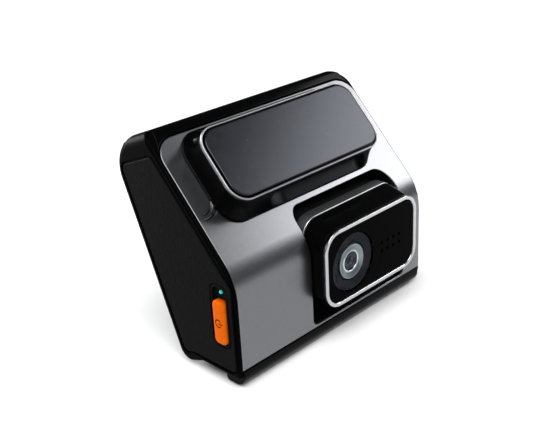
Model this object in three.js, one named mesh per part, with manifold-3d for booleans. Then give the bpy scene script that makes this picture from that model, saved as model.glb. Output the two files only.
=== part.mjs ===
// Dash camera for a windscreen: a wedge-shaped housing with a metal-look front shell, a lens module
// that tilts in an opening of that shell, a side power button, a rear screen and a slide-on bracket.
//
// Units are millimetres and +Z is up. The lens looks along -Y, and +X is the end away from the button.
// The exported group has its origin at the centre of the adhesive pad's outer face.
// Inside it, the device frame has y = 0 on the flat front and z = 0 at the front shell's lower edge.

import * as THREE from "three";
import { mergeVertices } from "three/addons/utils/BufferGeometryUtils.js";
import Module from "manifold-3d";

const wasm = await Module();
wasm.setup();

// ---------------------------------------------------------------- driving dimensions

const GAP = 0.3; // clearance between pieces that touch or seat

// Side outline of the housing
const SHELL_HALF_WIDTH = 45;
const FRONT_HEIGHT = 30.5; // from the shell's lower edge to the bend
const SLANT_ANGLE = 47.5; // of the upper front, above the horizontal
const REAR_LEAN = 21; // of the rear face, from the vertical
const REAR_AT_BASE = 30.2; // depth of the rear face's line at z = 0
const TOP_LENGTH = 75; // from the chin to the top face, along the rear face
const RECESS_Z = -3; // underside between the front lip and the rear chin
const LIP_DROP = 3.6; // how far the front lip hangs below that underside
const LIP_DEPTH = 8.5;
const BEND_RADIUS = 18;
const TOP_FRONT_RADIUS = 2.2;
const TOP_REAR_RADIUS = 11;
const CHIN_RADIUS = 5;
const LIP_RADIUS = 4.6;

// Walls
const SHELL_WALL = 1.8;
const BACKING_WALL = 1.6;
const HOUSING_WALL = 2;
const BASE_WALL = 1.8;
const COVER_DEPTH = 6; // rear cover, from the rear face forward
const COVER_WALL = 3.2;

// Front shell
const TOP_BAND = 4.1; // of the housing above the shell, along the slant
const SHELL_CORNER = 7.5;
const OPENING_BOTTOM = 0.9;
const OPENING_ROOM = 6; // over the module
const OPENING_CORNER = 6;

// End caps and their inlays
const CAP_FLANGE = 1.2;
const CAP_PLUG = 1.5;
const CAP_EDGE = 0.8;
const CAP_WRAP = 2.1; // how far a cap reaches over the top of the housing
const INLAY_DEPTH = 0.7;
const INLAY_BORDER = { front: 1.3, slant: 2.3, top: 7.5, rear: 2.8, chin: 3.2, recess: 1.8 };
const INLAY_CORNER = 2.5;

// Lens module, tilting about an axis along X
const MODULE_X = 11.65;
const MODULE_Z = 21.15;
const MODULE_WIDTH = 47.5;
const MODULE_HEIGHT = 27.1;
const MODULE_CORNER = 6.8;
const MODULE_FRONT = -5.6;
const MODULE_CLEARANCE = 0.45; // to the opening, at each end
const PIVOT_Y = 12;
const PIVOT_RADIUS = 1.6;
const TRIM_WIDTH = 1.4;
const TRIM_DEPTH = 1.2;
const BODY_DEPTH = 8;
const BODY_RISE = 2.5; // of the body's top, from its front edge to its back edge
const SLEEVE_DEPTH = 10.8;
const MODULE_WALL = 1.5;
const CRADLE_SIDE_GAP = 1.1;
const CRADLE_WALL = 1.2;

// Lens, on an axis along Y
const LENS_X = MODULE_X - 10.15;
const LENS_Z = MODULE_Z - 0.35;
const WINDOW_BORDER = 1.85; // from the window to the trim
const WINDOW_RADIUS = MODULE_HEIGHT / 2 - TRIM_WIDTH - 0.2 - WINDOW_BORDER;
const RETAINER_RADIUS = 6;
const BARREL_RADIUS = 5.6;
const BARREL_LENGTH = 11.5;
const SENSOR_BOARD = { width: 21, side: 2.05, thickness: 1 }; // side is to the sleeve's walls
const SPEAKER_HOLE_RADIUS = 0.5;
const SPEAKER_HOLE_PITCH = 3.15;
const SPEAKER_HOLES = { columns: 4, rows: 2, x: MODULE_X + 4.65, z: MODULE_Z - 2.2 };
const SPEAKER = { x: MODULE_X + 9.35, z: MODULE_Z - 0.65, width: 15, height: 11 };

// Windscreen bracket, on the slanted front
const BRACKET_X = -2;
const BRACKET_BELOW = 17.3; // its centre below the shell's top edge, along the slant
const BRACKET_TOP = { width: 69.2, height: 26.1, corner: 6.8 };
const BRACKET_BASE = { width: 70.8, height: 33, corner: 8 };
const BRACKET_HEIGHT = 9.3;
const BRACKET_WALL = 2;
const PAD_BORDER = 1.2;
const PAD_STAND = 0.4; // of the pad's face above the metal rim
const PAD_THICKNESS = 1.2;
const RIM_WIDTH = 0.6;
const RIM_DEPTH = 1;
const HOOK = { length: 10, neck: 2.4, head: 5.4, headDepth: 1.1, travel: 8.5 };
const HOOK_PLACES = [
  [-24, 7],
  [16, 7],
  [-24, -7],
  [16, -7],
];

// Power button, on the left end
const BUTTON = { y: 7, z: 15.5, width: 5.2, height: 15, corner: 1.7, stand: 1, reach: 4.4 };
const BUTTON_TRAVEL = 0.5;
const BEZEL_WALL = 0.8;
const BEZEL_DEPTH = 3.6;
const LIGHT_ZONE = 4; // length of the bezel above the button, for the status light
const LIGHT_RADIUS = 0.6;
const LEG = 0.7; // thickness of the bezel's legs
const BUTTON_BOARD = 1; // thickness of its board

// Screen, board and sockets, laid out in the rear frame
// low is from the chin, and below is from the top; side is from the housing's end
const GLASS = { side: 3.2, low: 9, below: 9.5, corner: 4, thickness: 1 };
const PANEL = { width: 71, low: 12, below: 13, thickness: 3 };
const BOARD = { side: 3.2, low: 8, below: 13, front: 9.2, thickness: 1.2 };
const POST_RADIUS = 2;
const POST_FROM_SIDE = 2.3; // posts from the board's edges
const POST_FROM_END = 5;
const ANTENNA = { width: 12, thickness: 4, depth: 6.5, room: 2 }; // between the board and the top wall
const USB = { up: 22.5, width: 9, height: 3.3, depth: 8.6, wall: 0.35 };
const CARD = { up: 40.5, width: 11, thickness: 1, length: 15 };
const SCREW = { shaft: 0.9, head: 1.9, headDepth: 0.8, length: 5.5 };
const CAP_BOSS_RADIUS = 2.4;
const CAP_BOSS_LENGTH = 5;

// ---------------------------------------------------------------- materials

const finish = (color, roughness, metalness) =>
  new THREE.MeshStandardMaterial({ color, roughness, metalness });

const satinMetal = finish(0x8a8d92, 0.35, 0.8);
const chrome = finish(0xd8dadd, 0.12, 1);
const glossBlack = finish(0x0a0a0b, 0.12, 0);
const matteBlack = finish(0x1b1b1c, 0.55, 0);
const leatherBlack = finish(0x202021, 0.75, 0);
const orange = finish(0xd86400, 0.4, 0);
const tealLight = finish(0x19d8c4, 0.3, 0);
const padGrey = finish(0x4a4d52, 0.5, 0);
const darkGlass = finish(0x060607, 0.06, 0);
const clearGlass = finish(0x8fa0b8, 0.05, 0);
const boardGreen = finish(0x0f4a2c, 0.5, 0);
const chipBlack = finish(0x17181a, 0.5, 0);
const steel = finish(0xa9acb0, 0.3, 1);
const aluminium = finish(0xb6b9bd, 0.4, 1);
const ceramic = finish(0xd9cdb4, 0.6, 0);
const amber = finish(0xa8641c, 0.5, 0);
const capacitorBlue = finish(0x23324f, 0.45, 0);
const darkGrey = finish(0x3a3a3e, 0.45, 0);

// ---------------------------------------------------------------- frames

const radians = THREE.MathUtils.degToRad;
const slantCos = Math.cos(radians(SLANT_ANGLE));
const slantSin = Math.sin(radians(SLANT_ANGLE));
const leanCos = Math.cos(radians(REAR_LEAN));
const leanSin = Math.sin(radians(REAR_LEAN));

// A frame from its three axes and its origin, all in the device frame
function frame(xAxis, yAxis, zAxis, origin = [0, 0, 0]) {
  const axes = [xAxis, yAxis, zAxis].map((axis) => new THREE.Vector3(...axis));
  return new THREE.Matrix4().makeBasis(...axes).setPosition(...origin);
}

// Chin corner: where the rear face's line meets the underside of the chin
const chinZ = RECESS_Z - 3.9;
const chinY = REAR_AT_BASE + (chinZ * leanSin) / leanCos;

// Where the slant meets the top face, along the slant from the bend line
const slantLength =
  (TOP_LENGTH + chinY * leanSin + chinZ * leanCos - FRONT_HEIGHT * leanCos) /
  (slantCos * leanSin + slantSin * leanCos);
const shellTop = slantLength - TOP_BAND;
const bracketAlong = shellTop - BRACKET_BELOW;
const openingTop = MODULE_Z + MODULE_HEIGHT / 2 + OPENING_ROOM;

// x and y of a side view are the device's Y and Z, and it is extruded along X
const sideFrame = frame([0, 1, 0], [0, 0, 1], [1, 0, 0]);
// x and y of a front view are the device's X and Z, and depths grow towards the viewer
const frontFrame = frame([1, 0, 0], [0, 0, 1], [0, -1, 0]);
// on the slant: X, up the slope, and outwards, from the bend line
const slantFrame = frame([1, 0, 0], [0, slantCos, slantSin], [0, -slantSin, slantCos], [0, 0, FRONT_HEIGHT]);
// on the rear face: -X, up the face, and outwards, from the chin corner
const rearFrame = frame([-1, 0, 0], [0, leanSin, leanCos], [0, leanCos, -leanSin], [0, chinY, chinZ]);
// the same plane's edge seen from the end: outwards, up the face, and along X
const endFrame = frame([0, leanCos, -leanSin], [0, leanSin, leanCos], [1, 0, 0], [0, chinY, chinZ]);

// ---------------------------------------------------------------- shapes and solids

const ARC = 6; // segments of a quarter turn

function solidOf(geometry) {
  const bare = geometry.clone();
  bare.deleteAttribute("normal");
  bare.deleteAttribute("uv");
  const merged = mergeVertices(bare, 1e-4);
  return new wasm.Manifold(
    new wasm.Mesh({
      numProp: 3,
      vertProperties: merged.attributes.position.array,
      triVerts: new Uint32Array(merged.index.array),
    }),
  );
}

// A flat outline extruded in a frame, from one depth to another
function slab(where, outline, from, to, arc = ARC) {
  const options = { depth: to - from, bevelEnabled: false, curveSegments: arc };
  const geometry = new THREE.ExtrudeGeometry(outline, options);
  geometry.translate(0, 0, from).applyMatrix4(where);
  return solidOf(geometry);
}

function box(where, [x0, y0, z0], [x1, y1, z1]) {
  return slab(where, roundedRect(x0, y0, x1, y1, 0), z0, z1);
}

// A profile of [radius, depth] points turned about an axis along the frame's third direction
function turned(where, x, y, profile, segments = 28) {
  const points = profile.map(([radius, depth]) => new THREE.Vector2(radius, depth));
  const geometry = new THREE.LatheGeometry(points, segments);
  geometry.rotateX(Math.PI / 2).translate(x, y, 0).applyMatrix4(where);
  return solidOf(geometry);
}

function disc(where, x, y, radius, from, to, segments = 24) {
  const profile = [
    [0, from],
    [radius, from],
    [radius, to],
    [0, to],
  ];
  return turned(where, x, y, profile, segments);
}

function ring(where, x, y, inner, outer, from, to, segments = 28) {
  const profile = [
    [inner, from],
    [outer, from],
    [outer, to],
    [inner, to],
    [inner, from],
  ];
  return turned(where, x, y, profile, segments);
}

function roundedRect(x0, y0, x1, y1, radius) {
  const shape = new THREE.Shape();
  if (radius <= 0) {
    shape.moveTo(x0, y0).lineTo(x1, y0).lineTo(x1, y1).lineTo(x0, y1);
    return shape;
  }
  const turn = Math.PI / 2;
  shape.absarc(x1 - radius, y0 + radius, radius, -turn, 0);
  shape.absarc(x1 - radius, y1 - radius, radius, 0, turn);
  shape.absarc(x0 + radius, y1 - radius, radius, turn, 2 * turn);
  shape.absarc(x0 + radius, y0 + radius, radius, 2 * turn, 3 * turn);
  return shape;
}

function centredRect(x, y, width, height, radius) {
  return roundedRect(x - width / 2, y - height / 2, x + width / 2, y + height / 2, radius);
}

// A solid between two outlines that have the same number of points
function lofted(where, lowerOutline, upperOutline, from, to, arc = ARC) {
  const lower = lowerOutline.getPoints(arc);
  const upper = upperOutline.getPoints(arc);
  const count = lower.length;
  const positions = [];
  lower.forEach((p) => positions.push(p.x, p.y, from));
  upper.forEach((p) => positions.push(p.x, p.y, to));
  const index = [];
  for (let i = 0; i < count; i++) {
    const next = (i + 1) % count;
    index.push(i, next, count + next, i, count + next, count + i);
  }
  THREE.ShapeUtils.triangulateShape(lower, []).forEach(([a, b, c]) => {
    index.push(c, b, a);
    index.push(count + a, count + b, count + c);
  });
  const geometry = new THREE.BufferGeometry();
  geometry.setAttribute("position", new THREE.Float32BufferAttribute(positions, 3));
  geometry.setIndex(index);
  return solidOf(geometry.applyMatrix4(where));
}

const joined = (first, ...others) => others.reduce((sum, other) => sum.add(other), first);
const cut = (first, ...others) => others.reduce((rest, other) => rest.subtract(other), first);

// ---------------------------------------------------------------- side outline

// The housing's sides in order, clockwise from the front: a point on each and its outward normal.
// The corner between a side and the next one has that side's radius.
const lipZ = RECESS_Z - LIP_DROP;
const topY = chinY + TOP_LENGTH * leanSin;
const topZ = chinZ + TOP_LENGTH * leanCos;
const SIDES = [
  { name: "front", point: [0, 0], normal: [-1, 0], radius: BEND_RADIUS },
  { name: "slant", point: [0, FRONT_HEIGHT], normal: [-slantSin, slantCos], radius: TOP_FRONT_RADIUS },
  { name: "top", point: [topY, topZ], normal: [leanSin, leanCos], radius: TOP_REAR_RADIUS },
  { name: "rear", point: [chinY, chinZ], normal: [leanCos, -leanSin], radius: CHIN_RADIUS },
  { name: "chin", point: [chinY, chinZ], normal: [-leanSin, -leanCos], radius: 1.5 },
  { name: "recess", point: [0, RECESS_Z], normal: [0, -1], radius: 1.5 },
  { name: "lipBack", point: [LIP_DEPTH, 0], normal: [1, 0], radius: 1.5, lip: true },
  { name: "lip", point: [0, lipZ], normal: [0, -1], radius: LIP_RADIUS, lip: true },
];

// Where two sides meet, each moved inwards by its inset
function meeting(a, b, insetA, insetB) {
  const offsetA = a.point[0] * a.normal[0] + a.point[1] * a.normal[1] - insetA;
  const offsetB = b.point[0] * b.normal[0] + b.point[1] * b.normal[1] - insetB;
  const det = a.normal[0] * b.normal[1] - a.normal[1] * b.normal[0];
  const y = (offsetA * b.normal[1] - offsetB * a.normal[1]) / det;
  const z = (a.normal[0] * offsetB - b.normal[0] * offsetA) / det;
  return new THREE.Vector2(y, z);
}

// The outline as a shape, with each named side moved inwards and the corners rounded
function outline(insets = {}, { lip = true, without = [], corner = null } = {}) {
  const sides = SIDES.filter((side) => (lip || !side.lip) && !without.includes(side.name));
  const inset = (side) => insets[side.name] ?? insets.all ?? 0;
  const count = sides.length;
  const corners = sides.map((side, i) => {
    const next = sides[(i + 1) % count];
    const point = meeting(side, next, inset(side), inset(next));
    const turn = side.normal[0] * next.normal[1] - side.normal[1] * next.normal[0];
    const shrink = (Math.max(inset(side), 0) + Math.max(inset(next), 0)) / 2;
    const kept = turn < 0 ? Math.max(side.radius - shrink, 0.4) : side.radius + shrink;
    const plain = !lip && side.name === "recess" ? 1.5 : kept;
    return { point, radius: corner ?? plain };
  });
  const bends = corners.map(({ point, radius }, i) => {
    const toBefore = corners[(i + count - 1) % count].point.clone().sub(point);
    const toAfter = corners[(i + 1) % count].point.clone().sub(point);
    const half = Math.acos(toBefore.clone().normalize().dot(toAfter.clone().normalize())) / 2;
    return { point, toBefore, toAfter, half, reach: radius / Math.tan(half) };
  });
  // Two bends that share a short side share its length
  const share = bends.map((bend, i) => {
    const next = bends[(i + 1) % count];
    return Math.min(1, (0.98 * bend.toAfter.length()) / (bend.reach + next.reach));
  });
  const points = bends.flatMap((bend, i) => {
    return rounding(bend, bend.reach * Math.min(share[i], share[(i + count - 1) % count]));
  });
  return new THREE.Shape(points.reverse());
}

// Points of the arc that rounds a corner, from and to the given reach along its two sides
function rounding({ point, toBefore, toAfter, half }, reach) {
  const u = toBefore.clone().normalize();
  const v = toAfter.clone().normalize();
  const start = point.clone().addScaledVector(u, reach);
  const centre = point.clone().addScaledVector(u.clone().add(v).normalize(), reach / Math.cos(half));
  const size = start.distanceTo(centre);
  const sweep = Math.PI - 2 * half;
  const sense = u.cross(v) > 0 ? -1 : 1;
  const steps = Math.max(2, Math.round((ARC * sweep) / (Math.PI / 2)));
  const from = Math.atan2(start.y - centre.y, start.x - centre.x);
  return Array.from({ length: steps + 1 }, (_, i) => {
    const angle = from + (sense * sweep * i) / steps;
    return new THREE.Vector2(centre.x + size * Math.cos(angle), centre.y + size * Math.sin(angle));
  });
}

// ---------------------------------------------------------------- assembly helpers

const device = new THREE.Group();

function add(name, solid, material) {
  const made = solid.getMesh();
  const positions = new Float32Array(made.numVert * 3);
  for (let i = 0; i < made.numVert; i++) {
    positions.set(made.vertProperties.subarray(i * made.numProp, i * made.numProp + 3), i * 3);
  }
  const geometry = new THREE.BufferGeometry();
  geometry.setAttribute("position", new THREE.BufferAttribute(positions, 3));
  geometry.setIndex(new THREE.BufferAttribute(new Uint32Array(made.triVerts), 1));
  const mesh = new THREE.Mesh(geometry, material);
  mesh.name = name;
  device.add(mesh);
}

// The same solid on the other end of the device
const mirrored = (solid) => solid.mirror([1, 0, 0]);

const FAR = 60; // beyond every piece
const housingHalf = SHELL_HALF_WIDTH - GAP;
const capInner = SHELL_HALF_WIDTH + 0.2;
const capOuter = capInner + CAP_FLANGE;
const glassWidth = 2 * (housingHalf - GLASS.side);
const glassHigh = TOP_LENGTH - GLASS.below;
const panelHigh = TOP_LENGTH - PANEL.below;
const boardWidth = 2 * (housingHalf - BOARD.side);
const boardHigh = TOP_LENGTH - BOARD.below;

const openingLeft = MODULE_X - MODULE_WIDTH / 2 - MODULE_CLEARANCE;
const openingRight = MODULE_X + MODULE_WIDTH / 2 + MODULE_CLEARANCE;

// The passage that the lens module looks through, as a front view rounded at its corners
function passage(margin, from, to) {
  const view = roundedRect(
    openingLeft - margin,
    OPENING_BOTTOM - margin,
    openingRight + margin,
    openingTop + margin,
    OPENING_CORNER + margin,
  );
  return slab(frontFrame, view, from, to);
}

// The button's bezel, seen from the end
const bezelFace = -capOuter;
const bezelBack = bezelFace + BEZEL_DEPTH;
const buttonBoardX = bezelBack + 5.2;
const bezelWidth = BUTTON.width + 2 * (GAP + BEZEL_WALL);
const bezelLow = BUTTON.z - BUTTON.height / 2 - GAP - BEZEL_WALL;
const bezelHigh = BUTTON.z + BUTTON.height / 2 + GAP + BEZEL_WALL + LIGHT_ZONE;

function bezelView(margin) {
  return roundedRect(
    BUTTON.y - bezelWidth / 2 - margin,
    bezelLow - margin,
    BUTTON.y + bezelWidth / 2 + margin,
    bezelHigh + margin,
    BUTTON.corner + BEZEL_WALL + margin,
  );
}

// The T-shaped slots that the bracket's hooks slide in
function hookSlots(from, to, whole) {
  const { length, neck, head, travel } = HOOK;
  return HOOK_PLACES.map(([x, along]) => {
    const x0 = BRACKET_X + x - length / 2 - GAP;
    const y0 = bracketAlong + along;
    const end = x0 + length + 2 * GAP;
    const wide = box(
      slantFrame,
      [whole ? x0 : end + travel - length - 2 * GAP, y0 - head / 2 - GAP, from],
      [end + travel, y0 + head / 2 + GAP, to],
    );
    const narrow = box(slantFrame, [x0, y0 - neck / 2 - GAP, from], [end + travel, y0 + neck / 2 + GAP, to]);
    return joined(wide, narrow);
  });
}

// ---------------------------------------------------------------- front shell and housing

// What the front shell may cover: the flat front, and the slant up to its rounded top corners
function shellZone(gap) {
  const half = SHELL_HALF_WIDTH + gap;
  const flat = box(frontFrame, [-half, -gap, -14], [half, FRONT_HEIGHT + 2, 5]);
  const slant = slab(
    slantFrame,
    roundedRect(-half, -20, half, shellTop + gap, SHELL_CORNER + gap),
    -12,
    12,
  );
  return joined(flat, slant);
}

function prism(insets, half, options) {
  return slab(sideFrame, outline(insets, options), -half, half);
}

function frontShell() {
  const under = { all: -4, front: SHELL_WALL, slant: SHELL_WALL };
  const sheet = cut(prism({}, SHELL_HALF_WIDTH), prism(under, FAR, { lip: false }));
  return cut(
    sheet.intersect(shellZone(0)),
    passage(0, -FAR, 20),
    ...hookSlots(-SHELL_WALL - 1, 1, false),
  );
}

// Bosses for the cap screws, as places in the side view
const alongSlant = (along, depth) => [
  along * slantCos + depth * slantSin,
  FRONT_HEIGHT + along * slantSin - depth * slantCos,
];
const bossDepth = SHELL_WALL + GAP + BACKING_WALL + CAP_BOSS_RADIUS - 0.9;
const CAP_SCREWS = [
  alongSlant(slantLength - 8, bossDepth),
  [14.5, RECESS_Z + BASE_WALL + CAP_BOSS_RADIUS - 0.9],
];

function mainHousing() {
  const seat = SHELL_WALL + GAP;
  const lined = prism({ all: -4, front: seat, slant: seat }, FAR, { lip: false });
  const rebate = cut(shellZone(GAP), lined);
  const inside = {
    front: seat + BACKING_WALL,
    slant: seat + BACKING_WALL,
    top: HOUSING_WALL,
    rear: -4,
    chin: BASE_WALL,
    recess: BASE_WALL,
  };
  const hollow = prism(inside, FAR, { lip: false });
  const behind = box(rearFrame, [-FAR, -20, -COVER_DEPTH - GAP], [FAR, 100, 20]);
  const wrapStart = shellTop + 0.8;
  const ends = [-1, 1].map((side) => {
    const inner = side * (capInner - CAP_WRAP - GAP);
    return box(
      slantFrame,
      [Math.min(inner, side * FAR), wrapStart, -40],
      [Math.max(inner, side * FAR), wrapStart + 30, 12],
    );
  });
  const bosses = CAP_SCREWS.flatMap(([y, z]) =>
    [-1, 1].map((side) => {
      const inner = housingHalf - CAP_PLUG - CAP_BOSS_LENGTH;
      const outer = housingHalf - CAP_PLUG;
      const post = ring(sideFrame, y, z, SCREW.shaft + 0.1, CAP_BOSS_RADIUS, inner, outer, 16);
      return side > 0 ? post : mirrored(post);
    }),
  );
  const pilots = CAP_SCREWS.map(([y, z]) => disc(sideFrame, y, z, SCREW.shaft + 0.1, -FAR, FAR, 16));
  const walls = cut(prism({}, housingHalf), rebate, hollow, behind, ...ends);
  return cut(
    joined(walls, ...bosses),
    passage(GAP, -20, 20),
    slab(sideFrame, bezelView(GAP), -FAR, buttonBoardX + BUTTON_BOARD + GAP),
    ...hookSlots(-BACKING_WALL - seat - 1, -seat + 1, true),
    ...pilots,
  );
}

function rearCover() {
  const block = prism({}, housingHalf).intersect(
    box(rearFrame, [-FAR, -20, -COVER_DEPTH], [FAR, 100, 20]),
  );
  const inside = { top: HOUSING_WALL, rear: COVER_WALL, chin: BASE_WALL, recess: BASE_WALL };
  const hollow = prism(inside, FAR, { lip: false });
  const glassSeat = centredRect(
    0,
    (GLASS.low + glassHigh) / 2,
    glassWidth + 2 * GAP,
    glassHigh - GLASS.low + 2 * GAP,
    GLASS.corner + GAP,
  );
  const window = centredRect(
    0,
    (PANEL.low + panelHigh) / 2,
    PANEL.width + 2 * GAP,
    panelHigh - PANEL.low + 2 * GAP,
    1,
  );
  const open = cut(
    block,
    hollow,
    slab(rearFrame, glassSeat, -GLASS.thickness - GAP, 5),
    slab(rearFrame, window, -COVER_DEPTH - 1, 5),
  );
  const postTop = -(BOARD.front - BOARD.thickness) + GAP;
  const posts = boardPosts().map(([x, up]) =>
    ring(rearFrame, x, up, SCREW.shaft + 0.1, POST_RADIUS, postTop, -COVER_WALL + 0.5, 16),
  );
  return joined(open, ...posts);
}

function boardPosts() {
  const x = boardWidth / 2 - POST_FROM_SIDE;
  const heights = [BOARD.low + POST_FROM_END, boardHigh - POST_FROM_END];
  return [-x, x].flatMap((side) => heights.map((up) => [side, up]));
}

add("front_shell", frontShell(), satinMetal);
add("main_housing", mainHousing(), glossBlack);
add("rear_cover", rearCover(), glossBlack);

// ---------------------------------------------------------------- end caps

const usbInner = capOuter - USB.depth;
const socketFront = -BOARD.front - GAP; // the board's front face, in the rear frame

function usbView(margin) {
  const middle = socketFront - USB.height / 2;
  return centredRect(middle, USB.up, USB.height + 2 * margin, USB.width + 2 * margin, 1.4 + margin);
}

function cardView(margin) {
  const middle = socketFront - 0.5 - CARD.thickness / 2;
  return centredRect(middle, CARD.up, CARD.thickness + 2 * margin, CARD.width + 2 * margin, 0);
}

function inlayView(margin) {
  const insets = {};
  for (const [side, border] of Object.entries(INLAY_BORDER)) insets[side] = border - margin;
  return outline(insets, { lip: false, corner: INLAY_CORNER });
}

// A cap for the right end: a flange over the housing's end, a plug inside it and a wrap over its top
function plainCap() {
  const full = outline({}, { lip: false });
  const eased = outline({ all: CAP_EDGE }, { lip: false });
  const flange = joined(
    slab(sideFrame, full, capInner, capOuter - CAP_EDGE),
    lofted(sideFrame, full, eased, capOuter - CAP_EDGE, capOuter),
  );
  const seat = SHELL_WALL + BACKING_WALL + 2 * GAP;
  const plugInsets = {
    top: HOUSING_WALL + GAP,
    rear: COVER_WALL + GAP,
    chin: BASE_WALL + GAP,
    recess: BASE_WALL + GAP,
  };
  const plugBehind = outline(plugInsets, { lip: false });
  const plugFront = outline({ ...plugInsets, rear: 0, front: seat, slant: seat }, { lip: false });
  const [plug, plugLimit] = [plugBehind, plugFront].map((view) =>
    slab(sideFrame, view, capInner - CAP_PLUG, capInner + 0.1),
  );
  const topPart = box(
    slantFrame,
    [capInner - CAP_WRAP, shellTop + 0.8 + GAP, -40],
    [capInner + 0.1, shellTop + 30, 12],
  );
  const behindSeam = box(rearFrame, [-FAR, -20, -COVER_DEPTH - GAP], [FAR, 100, 20]);
  const overTop = slab(sideFrame, full, capInner - CAP_WRAP, capInner + 0.1);
  const wrap = cut(overTop.intersect(topPart), behindSeam);
  const body = joined(flange, plug.intersect(plugLimit), wrap);
  const tray = slab(sideFrame, inlayView(GAP), capOuter - INLAY_DEPTH, capOuter + 5);
  const headFloor = capOuter - INLAY_DEPTH - SCREW.headDepth - 0.1;
  const holes = CAP_SCREWS.flatMap(([y, z]) => [
    disc(sideFrame, y, z, SCREW.shaft + GAP, 30, FAR, 16),
    disc(sideFrame, y, z, SCREW.head + GAP, headFloor, FAR, 16),
  ]);
  return cut(body, tray, ...holes);
}

function leftCap() {
  const mouth = slab(sideFrame, bezelView(GAP), -FAR, -30);
  return cut(mirrored(plainCap()), mouth);
}

function rightCap() {
  const usbMouth = slab(endFrame, usbView(GAP), 30, FAR);
  const cardMouth = slab(endFrame, cardView(GAP), 30, FAR);
  return cut(plainCap(), usbMouth, cardMouth);
}

const inlaySheet = () => slab(sideFrame, inlayView(0), capOuter - INLAY_DEPTH + 0.05, capOuter + 0.05);

add("left_cap", leftCap(), matteBlack);
add("right_cap", rightCap(), matteBlack);
add(
  "left_inlay",
  cut(mirrored(inlaySheet()), slab(sideFrame, bezelView(GAP), -FAR, -30)),
  leatherBlack,
);
add(
  "right_inlay",
  cut(inlaySheet(), slab(endFrame, usbView(0.5), 30, FAR), slab(endFrame, cardView(0.5), 30, FAR)),
  leatherBlack,
);

function capScrew([y, z]) {
  const seatFloor = capOuter - INLAY_DEPTH - SCREW.headDepth - 0.05;
  return joined(
    disc(sideFrame, y, z, SCREW.head, seatFloor, seatFloor + SCREW.headDepth - 0.1, 16),
    disc(sideFrame, y, z, SCREW.shaft - 0.2, seatFloor - SCREW.length, seatFloor + 0.2, 12),
  );
}

CAP_SCREWS.forEach((place, i) => {
  add(`left_cap_screw_${i + 1}`, mirrored(capScrew(place)), steel);
  add(`right_cap_screw_${i + 1}`, capScrew(place), steel);
});

// ---------------------------------------------------------------- power button

const lightZ = bezelHigh - BEZEL_WALL - LIGHT_ZONE / 2 + 0.2;

function buttonView(margin) {
  const { y, z, width, height, corner } = BUTTON;
  return centredRect(y, z, width + 2 * margin, height + 2 * margin, corner + margin);
}

function buttonBezel() {
  const floorX = bezelFace + 1;
  const lightRecess = roundedRect(
    BUTTON.y - bezelWidth / 2 + BEZEL_WALL,
    bezelLow + BEZEL_WALL,
    BUTTON.y + bezelWidth / 2 - BEZEL_WALL,
    bezelHigh - BEZEL_WALL,
    BUTTON.corner,
  );
  const tray = cut(
    slab(sideFrame, bezelView(0), bezelFace, bezelBack),
    slab(sideFrame, buttonView(GAP), -FAR, 0),
    slab(sideFrame, lightRecess, -FAR, floorX),
    disc(sideFrame, BUTTON.y, lightZ, LIGHT_RADIUS + GAP, -FAR, 0, 16),
  );
  const legZ = [bezelLow + 0.05, bezelHigh - LEG - 0.05];
  const legs = legZ.map((z) =>
    box(sideFrame, [BUTTON.y - 1.5, z, bezelBack - 0.5], [BUTTON.y + 1.5, z + LEG, buttonBoardX - GAP]),
  );
  return joined(tray, ...legs);
}

function powerButton() {
  const face = bezelFace - BUTTON.stand;
  const back = face + BUTTON.reach;
  const ease = 0.7;
  const plateBack = bezelBack + 0.2;
  const symbol = joined(
    ring(sideFrame, BUTTON.y, BUTTON.z, 0.85, 1.25, face - 1, face + 0.25, 24),
    box(sideFrame, [BUTTON.y - 0.2, BUTTON.z + 0.3, face - 1], [BUTTON.y + 0.2, BUTTON.z + 1.6, face + 0.25]),
  );
  const gapInRing = box(
    sideFrame,
    [BUTTON.y - 0.55, BUTTON.z + 0.5, face - 1],
    [BUTTON.y + 0.55, BUTTON.z + 1.7, face + 0.4],
  );
  const stroke = box(
    sideFrame,
    [BUTTON.y - 0.2, BUTTON.z + 0.3, face - 1],
    [BUTTON.y + 0.2, BUTTON.z + 1.6, face + 0.25],
  );
  const engraving = joined(cut(symbol, gapInRing), stroke);
  const key = joined(
    lofted(sideFrame, buttonView(-ease), buttonView(0), face, face + ease),
    slab(sideFrame, buttonView(0), face + ease, back),
  );
  const plateView = centredRect(BUTTON.y, BUTTON.z, BUTTON.width + 1.4, BUTTON.height - 2, 1);
  const plate = slab(sideFrame, plateView, plateBack, plateBack + 0.8);
  const link = slab(sideFrame, buttonView(-0.5), back - 0.5, plateBack + 0.1);
  const post = disc(sideFrame, BUTTON.y, BUTTON.z, 1, plateBack + 0.5, plateBack + 1.7, 16);
  return cut(joined(key, link, plate, post), engraving);
}

const stemFront = bezelBack + 0.2 + 1.7 + 0.2;
const switchFront = stemFront + 1.2;

function switchBody() {
  const view = centredRect(BUTTON.y, BUTTON.z, 4.4, 4.4, 0.3);
  const well = disc(sideFrame, BUTTON.y, BUTTON.z, 1.3, switchFront - 1, buttonBoardX - GAP - 0.3, 16);
  return cut(slab(sideFrame, view, switchFront, buttonBoardX - GAP), well);
}

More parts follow.
